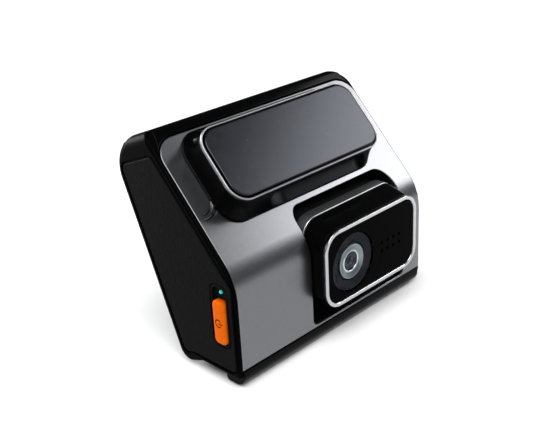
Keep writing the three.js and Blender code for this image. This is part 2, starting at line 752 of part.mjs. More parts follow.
add("button_bezel", buttonBezel(), glossBlack);
add("power_button", powerButton(), orange);
add("switch_stem", disc(sideFrame, BUTTON.y, BUTTON.z, 0.9, stemFront, switchFront + 0.6, 16), steel);
add("tact_switch", switchBody(), chipBlack);
add(
  "button_board",
  box(sideFrame, [BUTTON.y - 2.6, bezelLow, buttonBoardX], [BUTTON.y + 5.5, bezelHigh, buttonBoardX + BUTTON_BOARD]),
  boardGreen,
);
add(
  "status_led",
  box(
    sideFrame,
    [BUTTON.y - 0.8, lightZ - 0.6, buttonBoardX - 1],
    [BUTTON.y + 0.8, lightZ + 0.6, buttonBoardX - 0.2],
  ),
  ceramic,
);
add(
  "status_light",
  disc(sideFrame, BUTTON.y, lightZ, LIGHT_RADIUS, bezelFace + 0.8, buttonBoardX - 1.3, 16),
  tealLight,
);

// ---------------------------------------------------------------- lens module

function moduleView(margin, rise = 0) {
  return centredRect(
    MODULE_X,
    MODULE_Z + rise / 2,
    MODULE_WIDTH + 2 * margin,
    MODULE_HEIGHT + rise + 2 * margin,
    MODULE_CORNER + margin,
  );
}

// A piece between two depths in Y, drawn in front view
const between = (view, yFront, yBack) => slab(frontFrame, view, -yBack, -yFront);

const trimBack = MODULE_FRONT + TRIM_DEPTH;
const bodyFront = trimBack + GAP;
const bodyBack = bodyFront + BODY_DEPTH;
const sleeveFront = bodyBack + GAP;
const sleeveBack = sleeveFront + SLEEVE_DEPTH;
const moduleLeft = MODULE_X - MODULE_WIDTH / 2;
const moduleRight = MODULE_X + MODULE_WIDTH / 2;
const BODY_FACE = 1.1;

function speakerHoles(from, to) {
  const { columns, rows, x, z } = SPEAKER_HOLES;
  const holes = [];
  for (let column = 0; column < columns; column++) {
    for (let row = 0; row < rows; row++) {
      const cx = x + column * SPEAKER_HOLE_PITCH;
      const cz = z + row * SPEAKER_HOLE_PITCH;
      holes.push(disc(frontFrame, cx, cz, SPEAKER_HOLE_RADIUS, from, to, 8));
    }
  }
  return holes;
}

const moduleTrim = cut(
  joined(
    between(moduleView(0), MODULE_FRONT + 0.4, trimBack),
    lofted(frontFrame, moduleView(0), moduleView(-0.4), -MODULE_FRONT - 0.4, -MODULE_FRONT),
  ),
  between(moduleView(-TRIM_WIDTH), -20, 20),
);
const moduleGlass = cut(
  between(moduleView(-TRIM_WIDTH - 0.2), MODULE_FRONT + 0.15, trimBack),
  disc(frontFrame, LENS_X, LENS_Z, WINDOW_RADIUS + 0.15, -20, 20, 40),
  ...speakerHoles(-20, 20),
);
const wedge = (margin, yFront, yBack) =>
  lofted(frontFrame, moduleView(margin, BODY_RISE), moduleView(margin), -yBack, -yFront);
const moduleBody = cut(
  wedge(0, bodyFront, bodyBack),
  wedge(-MODULE_WALL, bodyFront + BODY_FACE, bodyBack + 0.2),
  disc(frontFrame, LENS_X, LENS_Z, WINDOW_RADIUS + 0.15, -20, 20, 32),
  between(centredRect(SPEAKER.x, SPEAKER.z, SPEAKER.width - 2, SPEAKER.height - 4, 1), -20, 20),
);
const pivotHole = disc(sideFrame, PIVOT_Y, MODULE_Z, PIVOT_RADIUS + GAP, -FAR, FAR, 20);
const moduleSleeve = cut(
  between(moduleView(0, BODY_RISE), sleeveFront, sleeveBack),
  between(moduleView(-MODULE_WALL, BODY_RISE), -20, 30),
  pivotHole,
);

add("module_trim", moduleTrim, chrome);
add("module_glass", moduleGlass, darkGlass);
add("module_body", moduleBody, glossBlack);
add("module_sleeve", moduleSleeve, satinMetal);

// Depths below are measured from the device's front plane towards the viewer
const lensTurned = (profile, segments) => turned(frontFrame, LENS_X, LENS_Z, profile, segments);
const faceDepth = -MODULE_FRONT;
const WINDOW_THICKNESS = 0.35;
const retainerDepth = faceDepth - 0.2 - WINDOW_THICKNESS - GAP;

add(
  "lens_window",
  disc(frontFrame, LENS_X, LENS_Z, WINDOW_RADIUS, faceDepth - 0.2 - WINDOW_THICKNESS, faceDepth - 0.2, 40),
  clearGlass,
);
add(
  "lens_baffle",
  lensTurned(
    [
      [RETAINER_RADIUS + 0.2, retainerDepth - 1.2],
      [WINDOW_RADIUS - 0.2, retainerDepth - 0.2],
      [WINDOW_RADIUS - 0.2, retainerDepth],
      [WINDOW_RADIUS - 0.9, retainerDepth],
      [RETAINER_RADIUS + 0.2, retainerDepth - 0.2],
      [RETAINER_RADIUS + 0.2, retainerDepth - 1.2],
    ],
    40,
  ),
  darkGrey,
);
add(
  "lens_retainer",
  lensTurned(
    [
      [3.6, retainerDepth - 1.8],
      [RETAINER_RADIUS, retainerDepth - 1.8],
      [RETAINER_RADIUS, retainerDepth],
      [RETAINER_RADIUS - 0.7, retainerDepth],
      [RETAINER_RADIUS - 0.9, retainerDepth - 0.4],
      [RETAINER_RADIUS - 1.5, retainerDepth - 0.4],
      [RETAINER_RADIUS - 1.7, retainerDepth - 0.8],
      [3.9, retainerDepth - 0.8],
      [3.6, retainerDepth - 1.2],
      [3.6, retainerDepth - 1.8],
    ],
    36,
  ),
  chrome,
);
add(
  "front_lens",
  lensTurned([
    [0, retainerDepth - 3],
    [3.2, retainerDepth - 3],
    [3.2, retainerDepth - 2],
    [2.6, retainerDepth - 1.3],
    [1.6, retainerDepth - 0.8],
    [0, retainerDepth - 0.6],
  ]),
  clearGlass,
);
const barrelFront = retainerDepth - 2.1;
const barrelBack = barrelFront - BARREL_LENGTH;
add(
  "lens_barrel",
  lensTurned([
    [3.5, barrelFront],
    [3.5, barrelFront - 5],
    [2.8, barrelFront - 5],
    [2.8, barrelBack],
    [4.4, barrelBack],
    [4.4, barrelFront - 4],
    [BARREL_RADIUS, barrelFront - 4],
    [BARREL_RADIUS, barrelFront],
    [3.5, barrelFront],
  ]),
  chipBlack,
);
add(
  "rear_lens",
  disc(frontFrame, LENS_X, LENS_Z, 2.4, barrelBack + 1, barrelBack + 2.8, 20),
  clearGlass,
);

const sensorBoardY = PIVOT_Y - 0.7;
const holderFrontY = -barrelBack - 6;
function lensHolder() {
  const base = between(centredRect(LENS_X, LENS_Z, 15, 15, 2), sensorBoardY - 3.3, sensorBoardY - GAP);
  const tower = disc(frontFrame, LENS_X, LENS_Z, 6.2, -(sensorBoardY - 3), -holderFrontY, 24);
  const bore = disc(frontFrame, LENS_X, LENS_Z, 4.4 + GAP, -20, 20, 24);
  const chamber = between(centredRect(LENS_X, LENS_Z, 11, 11, 1), sensorBoardY - 2, 20);
  return cut(joined(base, tower), bore, chamber);
}
add("lens_holder", lensHolder(), chipBlack);
add(
  "image_sensor",
  between(centredRect(LENS_X, LENS_Z, 8, 7, 0), sensorBoardY - 1.2, sensorBoardY - GAP),
  darkGlass,
);
add(
  "sensor_board",
  between(
    centredRect(
      LENS_X,
      LENS_Z,
      SENSOR_BOARD.width,
      MODULE_HEIGHT - 2 * (MODULE_WALL + SENSOR_BOARD.side),
      1,
    ),
    sensorBoardY,
    sensorBoardY + SENSOR_BOARD.thickness,
  ),
  boardGreen,
);
add(
  "sensor_connector",
  between(centredRect(LENS_X, MODULE_Z, 11, 2.4, 0), sensorBoardY + 1.2, sensorBoardY + 2.4),
  ceramic,
);
const speakerView = centredRect(SPEAKER.x, SPEAKER.z, SPEAKER.width, SPEAKER.height, 3);
add("speaker", between(speakerView, bodyFront + BODY_FACE + GAP, 0.9), chipBlack);

// ---------------------------------------------------------------- cradle and pivots

const cradleLeft = moduleLeft - CRADLE_SIDE_GAP;
const cradleRight = moduleRight + CRADLE_SIDE_GAP;
const CRADLE_REAR = 12.1; // behind the rear face
const cradleFrontInset = SHELL_WALL + BACKING_WALL + 2 * GAP;

function moduleCradle() {
  const insets = {
    front: cradleFrontInset,
    slant: cradleFrontInset,
    rear: CRADLE_REAR,
    recess: BASE_WALL + GAP,
  };
  const hull = (extra, x0, x1) => {
    const grown = {};
    for (const [side, value] of Object.entries(insets)) grown[side] = value + extra;
    grown.front = extra ? -5 : insets.front;
    grown.slant = extra ? -5 : insets.slant;
    return slab(sideFrame, outline(grown, { lip: false, without: ["chin", "top"] }), x0, x1);
  };
  const ceiling = openingTop + GAP + CRADLE_WALL;
  const above = box(frontFrame, [-FAR, ceiling, -FAR], [FAR, 100, FAR]);
  const aboveInner = box(frontFrame, [-FAR, ceiling - CRADLE_WALL, -FAR], [FAR, 100, FAR]);
  const outer = cut(hull(0, cradleLeft - CRADLE_WALL, cradleRight + CRADLE_WALL), above);
  const inner = cut(hull(CRADLE_WALL, cradleLeft, cradleRight), aboveInner);
  const flexSlot = box(frontFrame, [LENS_X - 7, MODULE_Z - 4, -40], [LENS_X + 7, MODULE_Z + 4, 0]);
  return cut(outer, inner, pivotHole, flexSlot);
}
add("module_cradle", moduleCradle(), matteBlack);

// A shoulder pin from outside the cradle's right cheek into the sleeve's wall
function pivotPin() {
  const headStart = cradleRight + CRADLE_WALL + GAP;
  return joined(
    disc(sideFrame, PIVOT_Y, MODULE_Z, PIVOT_RADIUS + 1.4, headStart, headStart + 1, 20),
    disc(sideFrame, PIVOT_Y, MODULE_Z, PIVOT_RADIUS, moduleRight - MODULE_WALL, headStart + 0.5, 20),
  );
}
function frictionWasher() {
  const start = moduleRight + GAP;
  return ring(sideFrame, PIVOT_Y, MODULE_Z, PIVOT_RADIUS + 0.25, 3.4, start, start + 0.5, 20);
}
// Mirrors a solid about the module's own middle plane
const acrossModule = (solid) => mirrored(solid).translate([2 * MODULE_X, 0, 0]);

add("pivot_pin_right", pivotPin(), steel);
add("pivot_pin_left", acrossModule(pivotPin()), steel);
add("friction_washer_right", frictionWasher(), aluminium);
add("friction_washer_left", acrossModule(frictionWasher()), aluminium);

// ---------------------------------------------------------------- windscreen bracket

function bracketView({ width, height, corner }, margin) {
  return centredRect(BRACKET_X, bracketAlong, width + 2 * margin, height + 2 * margin, corner + margin);
}

const rimFloor = BRACKET_HEIGHT - RIM_DEPTH;
const padFace = BRACKET_HEIGHT + PAD_STAND;

function bracket() {
  const shell = lofted(
    slantFrame,
    bracketView(BRACKET_BASE, 0),
    bracketView(BRACKET_TOP, 0),
    GAP,
    rimFloor - GAP,
  );
  const hollow = lofted(
    slantFrame,
    bracketView(BRACKET_BASE, -BRACKET_WALL - 1.6),
    bracketView(BRACKET_TOP, -BRACKET_WALL),
    GAP + 1.6,
    rimFloor - 2.2,
  );
  const opening = slab(slantFrame, centredRect(BRACKET_X, bracketAlong, 26, 6, 2), -1, 4);
  const platform = slab(slantFrame, bracketView(BRACKET_TOP, -PAD_BORDER - 0.4), rimFloor - 1, rimFloor + 0.3);
  const { length, neck, head, headDepth } = HOOK;
  const neckEnd = -SHELL_WALL - GAP;
  const hooks = HOOK_PLACES.flatMap(([x, along]) => {
    const cx = BRACKET_X + x;
    const cy = bracketAlong + along;
    return [
      box(slantFrame, [cx - length / 2, cy - neck / 2, neckEnd - 0.1], [cx + length / 2, cy + neck / 2, 1]),
      box(
        slantFrame,
        [cx - length / 2, cy - head / 2, neckEnd - headDepth],
        [cx + length / 2, cy + head / 2, neckEnd],
      ),
    ];
  });
  return joined(cut(shell, hollow, opening), platform, ...hooks);
}

add("mount_bracket", bracket(), glossBlack);
add(
  "mount_rim",
  cut(
    joined(
      slab(slantFrame, bracketView(BRACKET_TOP, 0), rimFloor, BRACKET_HEIGHT - 0.4),
      lofted(
        slantFrame,
        bracketView(BRACKET_TOP, 0),
        bracketView(BRACKET_TOP, -0.4),
        BRACKET_HEIGHT - 0.4,
        BRACKET_HEIGHT,
      ),
    ),
    slab(slantFrame, bracketView(BRACKET_TOP, -RIM_WIDTH), 0, 20),
  ),
  chrome,
);
add(
  "adhesive_pad",
  slab(slantFrame, bracketView(BRACKET_TOP, -PAD_BORDER), padFace - PAD_THICKNESS + 0.1, padFace),
  padGrey,
);

// ---------------------------------------------------------------- screen

const glassView = centredRect(
  0,
  (GLASS.low + glassHigh) / 2,
  glassWidth,
  glassHigh - GLASS.low,
  GLASS.corner,
);
add("display_glass", slab(rearFrame, glassView, -GLASS.thickness, 0), darkGlass);
const panelFront = -GLASS.thickness - GAP - 0.1;
const panelBack = panelFront - PANEL.thickness;
add(
  "display_panel",
  box(rearFrame, [-PANEL.width / 2, PANEL.low, panelBack], [PANEL.width / 2, panelHigh, panelFront]),
  darkGlass,
);
add(
  "display_frame",
  box(
    rearFrame,
    [-PANEL.width / 2, PANEL.low - 1.5, panelBack - GAP - 0.8],
    [PANEL.width / 2, panelHigh + 1.5, panelBack - GAP],
  ),
  aluminium,
);

// ---------------------------------------------------------------- main board and what it carries

function mainBoard() {
  const { low, front, thickness } = BOARD;
  const view = centredRect(0, (low + boardHigh) / 2, boardWidth, boardHigh - low, 2);
  const holes = boardPosts().map(([x, up]) => disc(rearFrame, x, up, SCREW.shaft + GAP, -20, 0, 16));
  return cut(slab(rearFrame, view, -front, -front + thickness), ...holes);
}
add("main_board", mainBoard(), boardGreen);

boardPosts().forEach(([x, up], i) => {
  const headBack = -BOARD.front - 0.05;
  add(
    `board_screw_${i + 1}`,
    joined(
      disc(rearFrame, x, up, SCREW.head, headBack - SCREW.headDepth, headBack, 16),
      disc(rearFrame, x, up, SCREW.shaft - 0.2, headBack - 0.2, headBack + 4.5, 12),
    ),
    steel,
  );
});

// A block on the board's front face, given by its centre, its size and how high it stands
function onBoard(x, up, width, height, stand, from = 0) {
  const top = -BOARD.front - 0.1 - from;
  return slab(rearFrame, centredRect(-x, up, width, height, 0), top - stand, top);
}

const CHIP = { x: -27, up: 43, size: 14, thickness: 1.2 };
add("processor", onBoard(CHIP.x, CHIP.up, CHIP.size, CHIP.size, CHIP.thickness), chipBlack);
add(
  "thermal_pad",
  onBoard(CHIP.x, CHIP.up, CHIP.size, CHIP.size, 0.8, CHIP.thickness + 0.1),
  darkGrey,
);
function heatSink() {
  const from = CHIP.thickness + 1;
  const base = onBoard(CHIP.x, CHIP.up, 20, 20, 1.5, from);
  const fins = [];
  for (let i = -3; i <= 3; i++) {
    fins.push(onBoard(CHIP.x + i * 3, CHIP.up, 1, 20, 5.5, from));
  }
  return joined(base, ...fins);
}
add("heat_sink", heatSink(), aluminium);

function supercapacitor(up) {
  const radius = 4;
  const middle = -BOARD.front - 0.4 - radius;
  return disc(endFrame, middle, up, radius, -33.5, -16.5, 20);
}
add("supercapacitor_1", supercapacitor(15), capacitorBlue);
add("supercapacitor_2", supercapacitor(24), capacitorBlue);

function usbSocket() {
  const shell = slab(endFrame, usbView(0), usbInner, capOuter - 0.1);
  const mouth = slab(endFrame, usbView(-USB.wall), usbInner + 1.2, FAR);
  const middle = socketFront - USB.height / 2;
  const tongue = slab(
    endFrame,
    centredRect(middle, USB.up, 0.7, USB.width - 2.4, 0),
    usbInner + 0.5,
    capOuter - 2,
  );
  return joined(cut(shell, mouth), tongue);
}
add("usb_socket", usbSocket(), steel);

function cardSocket() {
  const inner = capOuter - CARD.length - 1;
  const middle = socketFront - 0.5 - CARD.thickness / 2;
  const view = centredRect(middle, CARD.up, CARD.thickness + 1.1, CARD.width + 2.2, 0);
  const slot = slab(endFrame, cardView(0.25), inner + 0.7, FAR);
  return cut(slab(endFrame, view, inner, capInner - CAP_PLUG - GAP), slot);
}
add("card_socket", cardSocket(), steel);
add("memory_card", slab(endFrame, cardView(0), capOuter - CARD.length + 0.7, capOuter + 0.5), chipBlack);

const antennaView = roundedRect(
  -ANTENNA.depth - ANTENNA.thickness,
  boardHigh + ANTENNA.room / 2,
  -ANTENNA.depth,
  TOP_LENGTH - HOUSING_WALL - ANTENNA.room,
  0,
);
add("gps_antenna", slab(endFrame, antennaView, -ANTENNA.width / 2, ANTENNA.width / 2), ceramic);

// The ribbon from the sensor connector, through the cradle's rear slot, to the board
function sensorFlex() {
  const start = [sensorBoardY + 2.8, MODULE_Z];
  const boardY = REAR_AT_BASE + (MODULE_Z * leanSin) / leanCos - (BOARD.front + 0.6) / leanCos;
  const middle = (start[0] + boardY) / 2;
  const route = new THREE.CubicBezierCurve(
    new THREE.Vector2(...start),
    new THREE.Vector2(middle, MODULE_Z),
    new THREE.Vector2(middle, MODULE_Z - 1.2),
    new THREE.Vector2(boardY, MODULE_Z - 1.2),
  );
  const middleLine = route.getPoints(12);
  const half = 0.15;
  const upper = middleLine.map((p) => new THREE.Vector2(p.x, p.y + half));
  const lower = middleLine.map((p) => new THREE.Vector2(p.x, p.y - half)).reverse();
  return slab(sideFrame, new THREE.Shape([...upper, ...lower]), LENS_X - 4.5, LENS_X + 4.5);
}
add("sensor_flex", sensorFlex(), amber);

// ---------------------------------------------------------------- the part

const [padY, padZ] = [
  bracketAlong * slantCos - padFace * slantSin,
  FRONT_HEIGHT + bracketAlong * slantSin + padFace * slantCos,
];
device.position.set(-BRACKET_X, -padY, -padZ);

const part = new THREE.Group();
part.add(device);

export default part;
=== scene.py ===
import bpy
import bmesh
import math
from mathutils import Matrix, Vector


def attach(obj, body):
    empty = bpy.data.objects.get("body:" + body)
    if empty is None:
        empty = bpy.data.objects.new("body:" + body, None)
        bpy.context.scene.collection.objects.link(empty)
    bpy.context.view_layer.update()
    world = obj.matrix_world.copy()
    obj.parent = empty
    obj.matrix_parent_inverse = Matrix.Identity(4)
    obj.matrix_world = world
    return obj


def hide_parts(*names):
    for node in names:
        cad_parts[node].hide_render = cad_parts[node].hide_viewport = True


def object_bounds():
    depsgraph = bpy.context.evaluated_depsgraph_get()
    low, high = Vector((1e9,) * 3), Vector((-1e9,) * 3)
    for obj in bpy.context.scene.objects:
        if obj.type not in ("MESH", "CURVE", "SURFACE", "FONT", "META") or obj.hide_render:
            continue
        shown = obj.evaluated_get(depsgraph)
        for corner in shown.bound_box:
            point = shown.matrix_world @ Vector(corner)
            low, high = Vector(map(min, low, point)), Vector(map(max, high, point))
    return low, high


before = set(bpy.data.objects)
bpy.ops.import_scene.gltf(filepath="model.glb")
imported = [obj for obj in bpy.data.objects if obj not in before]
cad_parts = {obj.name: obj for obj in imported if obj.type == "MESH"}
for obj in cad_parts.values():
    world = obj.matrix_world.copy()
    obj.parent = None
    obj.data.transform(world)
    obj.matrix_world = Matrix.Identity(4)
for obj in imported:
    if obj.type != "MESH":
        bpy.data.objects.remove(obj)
cad_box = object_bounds()

# ---------------------------------------------------------------- sizes, in mm, as in the part's source

GAP = 0.3  # clearance between pieces
HALF_WIDTH = 45  # of the shell
FRONT_HEIGHT = 30.5  # from the shell's lower edge to the bend
SLANT_ANGLE = 47.5  # of the slope, above the horizontal
REAR_LEAN = 21  # of the rear face, from the vertical
REAR_AT_BASE = 30.2  # depth of the rear face's line at z = 0
TOP_LENGTH = 75  # from the chin to the top face, along the rear face
RECESS_Z = -3  # underside between the front lip and the rear chin
CHIN_DROP = 3.9
LIP_DROP = 3.6
LIP_DEPTH = 8.5
BEND_RADIUS = 18
TOP_FRONT_RADIUS = 2.2
TOP_REAR_RADIUS = 11
CHIN_RADIUS = 5
LIP_RADIUS = 4.6
UNDERSIDE_RADIUS = 1.5
SHELL_WALL = 1.8
BACKING_WALL = 1.6
HOUSING_WALL = 2
BASE_WALL = 1.8
COVER_DEPTH = 6  # rear cover, from the rear face forward
COVER_WALL = 3.2
TOP_BAND = 4.1  # of the housing above the shell, along the slope
SHELL_CORNER = 7.5
CAP_FLANGE = 1.2
CAP_WRAP = 2.1  # how far a cap reaches over the top of the housing
CAP_HOLLOW = 3.4  # how far the hollow of a cap stays in from its outline
INLAY_DEPTH = 0.7
INLAY_BORDER = {"front": 1.3, "slant": 2.3, "top": 7.5, "rear": 2.8, "chin": 3.2, "recess": 1.8}
MODULE_X, MODULE_Z = 11.65, 21.15
MODULE_WIDTH, MODULE_HEIGHT, MODULE_CORNER = 47.5, 27.1, 6.8
MODULE_FRONT = -5.6
MODULE_WALL = 1.5
OPENING_SIDE = 0.45  # from the module to the opening, at each end
OPENING_BOTTOM = 0.9
OPENING_ROOM = 6  # over the module
PIVOT_Y = 12
GLASS_SIDE, GLASS_LOW, GLASS_BELOW = 3.2, 9, 9.5
PANEL_WIDTH, PANEL_LOW, PANEL_BELOW = 71, 12, 13
BRACKET_X = -2
BRACKET_BELOW = 17.3  # its centre below the shell's top edge, along the slope
BRACKET_TOP = (69.2, 26.1, 6.8)  # width, height and corner
BRACKET_FLARE = (1.6, 6.9, 1.2)  # what the foot adds to each
PAD_FACE = 9.7  # above the slope; the part's origin is at its middle
FAR = 60  # beyond every piece

# ---------------------------------------------------------------- frames

# cosines and sines of the slope and of the rear face's lean
sc, ss = math.cos(math.radians(SLANT_ANGLE)), math.sin(math.radians(SLANT_ANGLE))
lc, ls = math.cos(math.radians(REAR_LEAN)), math.sin(math.radians(REAR_LEAN))
chin_z = RECESS_Z - CHIN_DROP
chin_y = REAR_AT_BASE + chin_z * ls / lc
slant_length = (TOP_LENGTH + chin_y * ls + chin_z * lc - FRONT_HEIGHT * lc) / (sc * ls + ss * lc)
shell_top = slant_length - TOP_BAND
bracket_along = shell_top - BRACKET_BELOW
ORIGIN = Vector((
    -BRACKET_X,
    -(bracket_along * sc - PAD_FACE * ss),
    -(FRONT_HEIGHT + bracket_along * ss + PAD_FACE * sc),
))


def axes(x, y, z, origin=(0, 0, 0)):
    """The matrix that takes a view's own x, y and depth to the device's frame."""
    m = Matrix((x, y, z)).transposed().to_4x4()
    m.translation = Vector(origin)
    return m


SIDE = axes((0, 1, 0), (0, 0, 1), (1, 0, 0))
FRONT = axes((1, 0, 0), (0, 0, 1), (0, -1, 0))
SLANT = axes((1, 0, 0), (0, sc, ss), (0, -ss, sc), (0, 0, FRONT_HEIGHT))
REAR = axes((-1, 0, 0), (0, ls, lc), (0, lc, -ls), (0, chin_y, chin_z))
END = axes((0, lc, -ls), (0, ls, lc), (1, 0, 0), (0, chin_y, chin_z))
TO_PART = Matrix.Scale(0.001, 4) @ Matrix.Translation(ORIGIN)

# ---------------------------------------------------------------- outlines

ARC = 12  # segments of a quarter turn
# name, a point on the side, its outward normal and the radius of the corner after it, in the side view
SIDES = [
    ("front", (0, 0), (-1, 0), BEND_RADIUS),
    ("slant", (0, FRONT_HEIGHT), (-ss, sc), TOP_FRONT_RADIUS),
    ("top", (chin_y + TOP_LENGTH * ls, chin_z + TOP_LENGTH * lc), (ls, lc), TOP_REAR_RADIUS),
    ("rear", (chin_y, chin_z), (lc, -ls), CHIN_RADIUS),
    ("chin", (chin_y, chin_z), (-ls, -lc), UNDERSIDE_RADIUS),
    ("recess", (0, RECESS_Z), (0, -1), UNDERSIDE_RADIUS),
    ("lipBack", (LIP_DEPTH, 0), (1, 0), UNDERSIDE_RADIUS),
    ("lip", (0, RECESS_Z - LIP_DROP), (0, -1), LIP_RADIUS),
]


def meeting(a, b, inset_a, inset_b):
    """Where two sides cross, each moved in by its inset."""
    oa = a[1][0] * a[2][0] + a[1][1] * a[2][1] - inset_a
    ob = b[1][0] * b[2][0] + b[1][1] * b[2][1] - inset_b
    det = a[2][0] * b[2][1] - a[2][1] * b[2][0]
    return Vector(((oa * b[2][1] - ob * a[2][1]) / det, (a[2][0] * ob - b[2][0] * oa) / det))


def outline(insets=None, lip=True, corner=None):
    """The side view's outline, with or without the front lip, each side moved in by its inset."""
    insets = insets or {}
    sides = [s for s in SIDES if lip or not s[0].startswith("lip")]
    n = len(sides)

    def inset(side):
        return insets.get(side[0], insets.get("all", 0))

    points, radii = [], []
    for i, s in enumerate(sides):
        t = sides[(i + 1) % n]
        points.append(meeting(s, t, inset(s), inset(t)))
        turn = s[2][0] * t[2][1] - s[2][1] * t[2][0]
        shrink = (max(inset(s), 0) + max(inset(t), 0)) / 2
        kept = max(s[3] - shrink, 0.4) if turn < 0 else s[3] + shrink
        if not lip and s[0] == "recess":
            kept = UNDERSIDE_RADIUS
        radii.append(corner if corner is not None else kept)
    return rounded(points, radii)[::-1]


def rounded(points, radii, arc=ARC):
    """Points of a closed polygon with each corner rounded."""
    n = len(points)
    bends = []
    for i, p in enumerate(points):
        a, c = points[i - 1] - p, points[(i + 1) % n] - p
        half = a.angle(c) / 2
        bends.append((p, a, c, half, radii[i] / math.tan(half)))
    share = []
    for i in range(n):
        length = bends[i][2].length
        share.append(min(1, 0.98 * length / max(1e-6, bends[i][4] + bends[(i + 1) % n][4])))
    out = []
    for i, (p, a, c, half, reach) in enumerate(bends):
        reach *= min(share[i], share[i - 1])
        if reach < 1e-4:
            out.append(p.copy())
            continue
        u, v = a.normalized(), c.normalized()
        start = p + u * reach
        centre = p + (u + v).normalized() * (reach / math.cos(half))
        size = (start - centre).length
        sweep = math.pi - 2 * half
        sense = -1 if u.x * v.y - u.y * v.x > 0 else 1
        steps = max(2, round(arc * sweep / (math.pi / 2)))
        first = math.atan2(start.y - centre.y, start.x - centre.x)
        for k in range(steps + 1):
            t = first + sense * sweep * k / steps
            out.append(Vector((centre.x + size * math.cos(t), centre.y + size * math.sin(t))))
    return out


def rect(x0, y0, x1, y1, r=0, arc=ARC):
    """A rounded rectangle, counterclockwise from the lower left; r may be four radii in that order."""
    radii = [r] * 4 if isinstance(r, (int, float)) else list(r)
    corners = [Vector((x0, y0)), Vector((x1, y0)), Vector((x1, y1)), Vector((x0, y1))]
    return rounded(corners, radii, arc) if max(radii) > 0 else corners


def centred(x, y, w, h, r=0, arc=ARC):
    return rect(x - w / 2, y - h / 2, x + w / 2, y + h / 2, r, arc)


def circle(x, y, r, n=48):
    return [Vector((x + r * math.cos(2 * math.pi * i / n), y + r * math.sin(2 * math.pi * i / n)))
            for i in range(n)]


# ---------------------------------------------------------------- meshes

def build(name, verts, faces):
    """An object in the part's frame, in metres, from points in the device's frame, in mm."""
    mesh = bpy.data.meshes.new(name)
    mesh.from_pydata([TO_PART @ v for v in verts], [], faces)
    mesh.validate()
    obj = bpy.data.objects.new(name, mesh)
    bpy.context.scene.collection.objects.link(obj)
    bm = bmesh.new()
    bm.from_mesh(mesh)
    bmesh.ops.recalc_face_normals(bm, faces=bm.faces)
    bm.to_mesh(mesh)
    bm.free()
    return obj


def loft(name, where, loops, ring=False):
    """A solid through loops of (points, depth), closed by its two end faces or into a ring."""
    n = len(loops[0][0])
    verts = [where @ Vector((p.x, p.y, depth)) for points, depth in loops for p in points]
    faces = []
    last = len(loops) if ring else len(loops) - 1
    for i in range(last):
        a, b = i * n, ((i + 1) % len(loops)) * n
        faces += [(a + k, a + (k + 1) % n, b + (k + 1) % n, b + k) for k in range(n)]
    if not ring:
        faces.append(tuple(range(n - 1, -1, -1)))
        faces.append(tuple(range((len(loops) - 1) * n, len(loops) * n)))
    return build(name, verts, faces)


def prism(name, where, points, low, high):
    return loft(name, where, [(points, low), (points, high)])


def turned(name, where, x, y, profile, n=72):
    """A solid of revolution from a closed profile of (radius, depth) points."""
    on_axis = [r < 1e-6 for r, _ in profile]
    verts, index = [], []
    for (r, d), centre in zip(profile, on_axis):
        if centre:
            index.append([len(verts)] * n)
            verts.append(where @ Vector((x, y, d)))
        else:
            index.append(list(range(len(verts), len(verts) + n)))
            verts += [where @ Vector((p.x, p.y, d)) for p in circle(x, y, r, n)]
    faces = []
    m = len(profile)
    for i in range(m):
        a, b = index[i], index[(i + 1) % m]
        if on_axis[i] and on_axis[(i + 1) % m]:
            continue
        for k in range(n):
            quad = [a[k], a[(k + 1) % n], b[(k + 1) % n], b[k]]
            faces.append(tuple(dict.fromkeys(quad)))
    return build(name, verts, faces)


def combine(obj, others, how="DIFFERENCE"):
    """Cuts, joins or intersects an object with others, which are used up."""
    for other in others:
        mod = obj.modifiers.new("cut", "BOOLEAN")
        mod.operation, mod.solver, mod.object = how, "EXACT", other
    apply(obj)
    for other in others:
        bpy.data.objects.remove(other)
    return obj


def apply(obj):
    """Makes what the modifiers show the object's own mesh."""
    graph = bpy.context.evaluated_depsgraph_get()
    mesh = bpy.data.meshes.new_from_object(obj.evaluated_get(graph))
    obj.modifiers.clear()
    old, obj.data = obj.data, mesh
    bpy.data.meshes.remove(old)


def clean(obj, planar=True):
    """Welds what a cut left and joins the faces that lie in one plane."""
    bm = bmesh.new()
    bm.from_mesh(obj.data)
    bmesh.ops.remove_doubles(bm, verts=bm.verts, dist=2e-6)
    bmesh.ops.dissolve_degenerate(bm, edges=bm.edges, dist=2e-6)
    if planar:
        bmesh.ops.dissolve_limit(bm, angle_limit=math.radians(0.3), verts=bm.verts, edges=bm.edges)
    bm.to_mesh(obj.data)
    bm.free()


def soften(obj, width, segments=3, angle=32, rim=None):
    """Rounds every hard edge by a width in mm; rim is the material slot of the rounded strip."""
    mod = obj.modifiers.new("edge", "BEVEL")
    mod.width, mod.segments = width * 0.001, segments
    mod.limit_method, mod.angle_limit = "ANGLE", math.radians(angle)
    mod.use_clamp_overlap = False
    mod.miter_outer = "MITER_ARC"
    if rim is not None:
        mod.material = rim


def smooth(obj):
    for p in obj.data.polygons:
        p.use_smooth = True
    mod = obj.modifiers.new("normals", "WEIGHTED_NORMAL")
    mod.weight, mod.keep_sharp = 60, True


def fillet(radius, steps=5):
    """(inset, rise) of a quarter circle from the side to the face."""
    out = []
    for k in range(steps + 1):
        t = math.pi / 2 * k / steps
        out.append((radius * (1 - math.cos(t)), radius * math.sin(t)))
    return out


# ---------------------------------------------------------------- materials

def shader(name, base, rough, metal=0.0, **sockets):
    """A material of one Principled shader; other sockets are named with _ for a space."""
    mat = bpy.data.materials.new(name)
    mat.use_nodes = True
    bsdf = mat.node_tree.nodes["Principled BSDF"]
    bsdf.inputs["Base Color"].default_value = (*base, 1)
    bsdf.inputs["Roughness"].default_value = rough
    bsdf.inputs["Metallic"].default_value = metal
    for key, value in sockets.items():
        bsdf.inputs[key.replace("_", " ")].default_value = value
    return mat


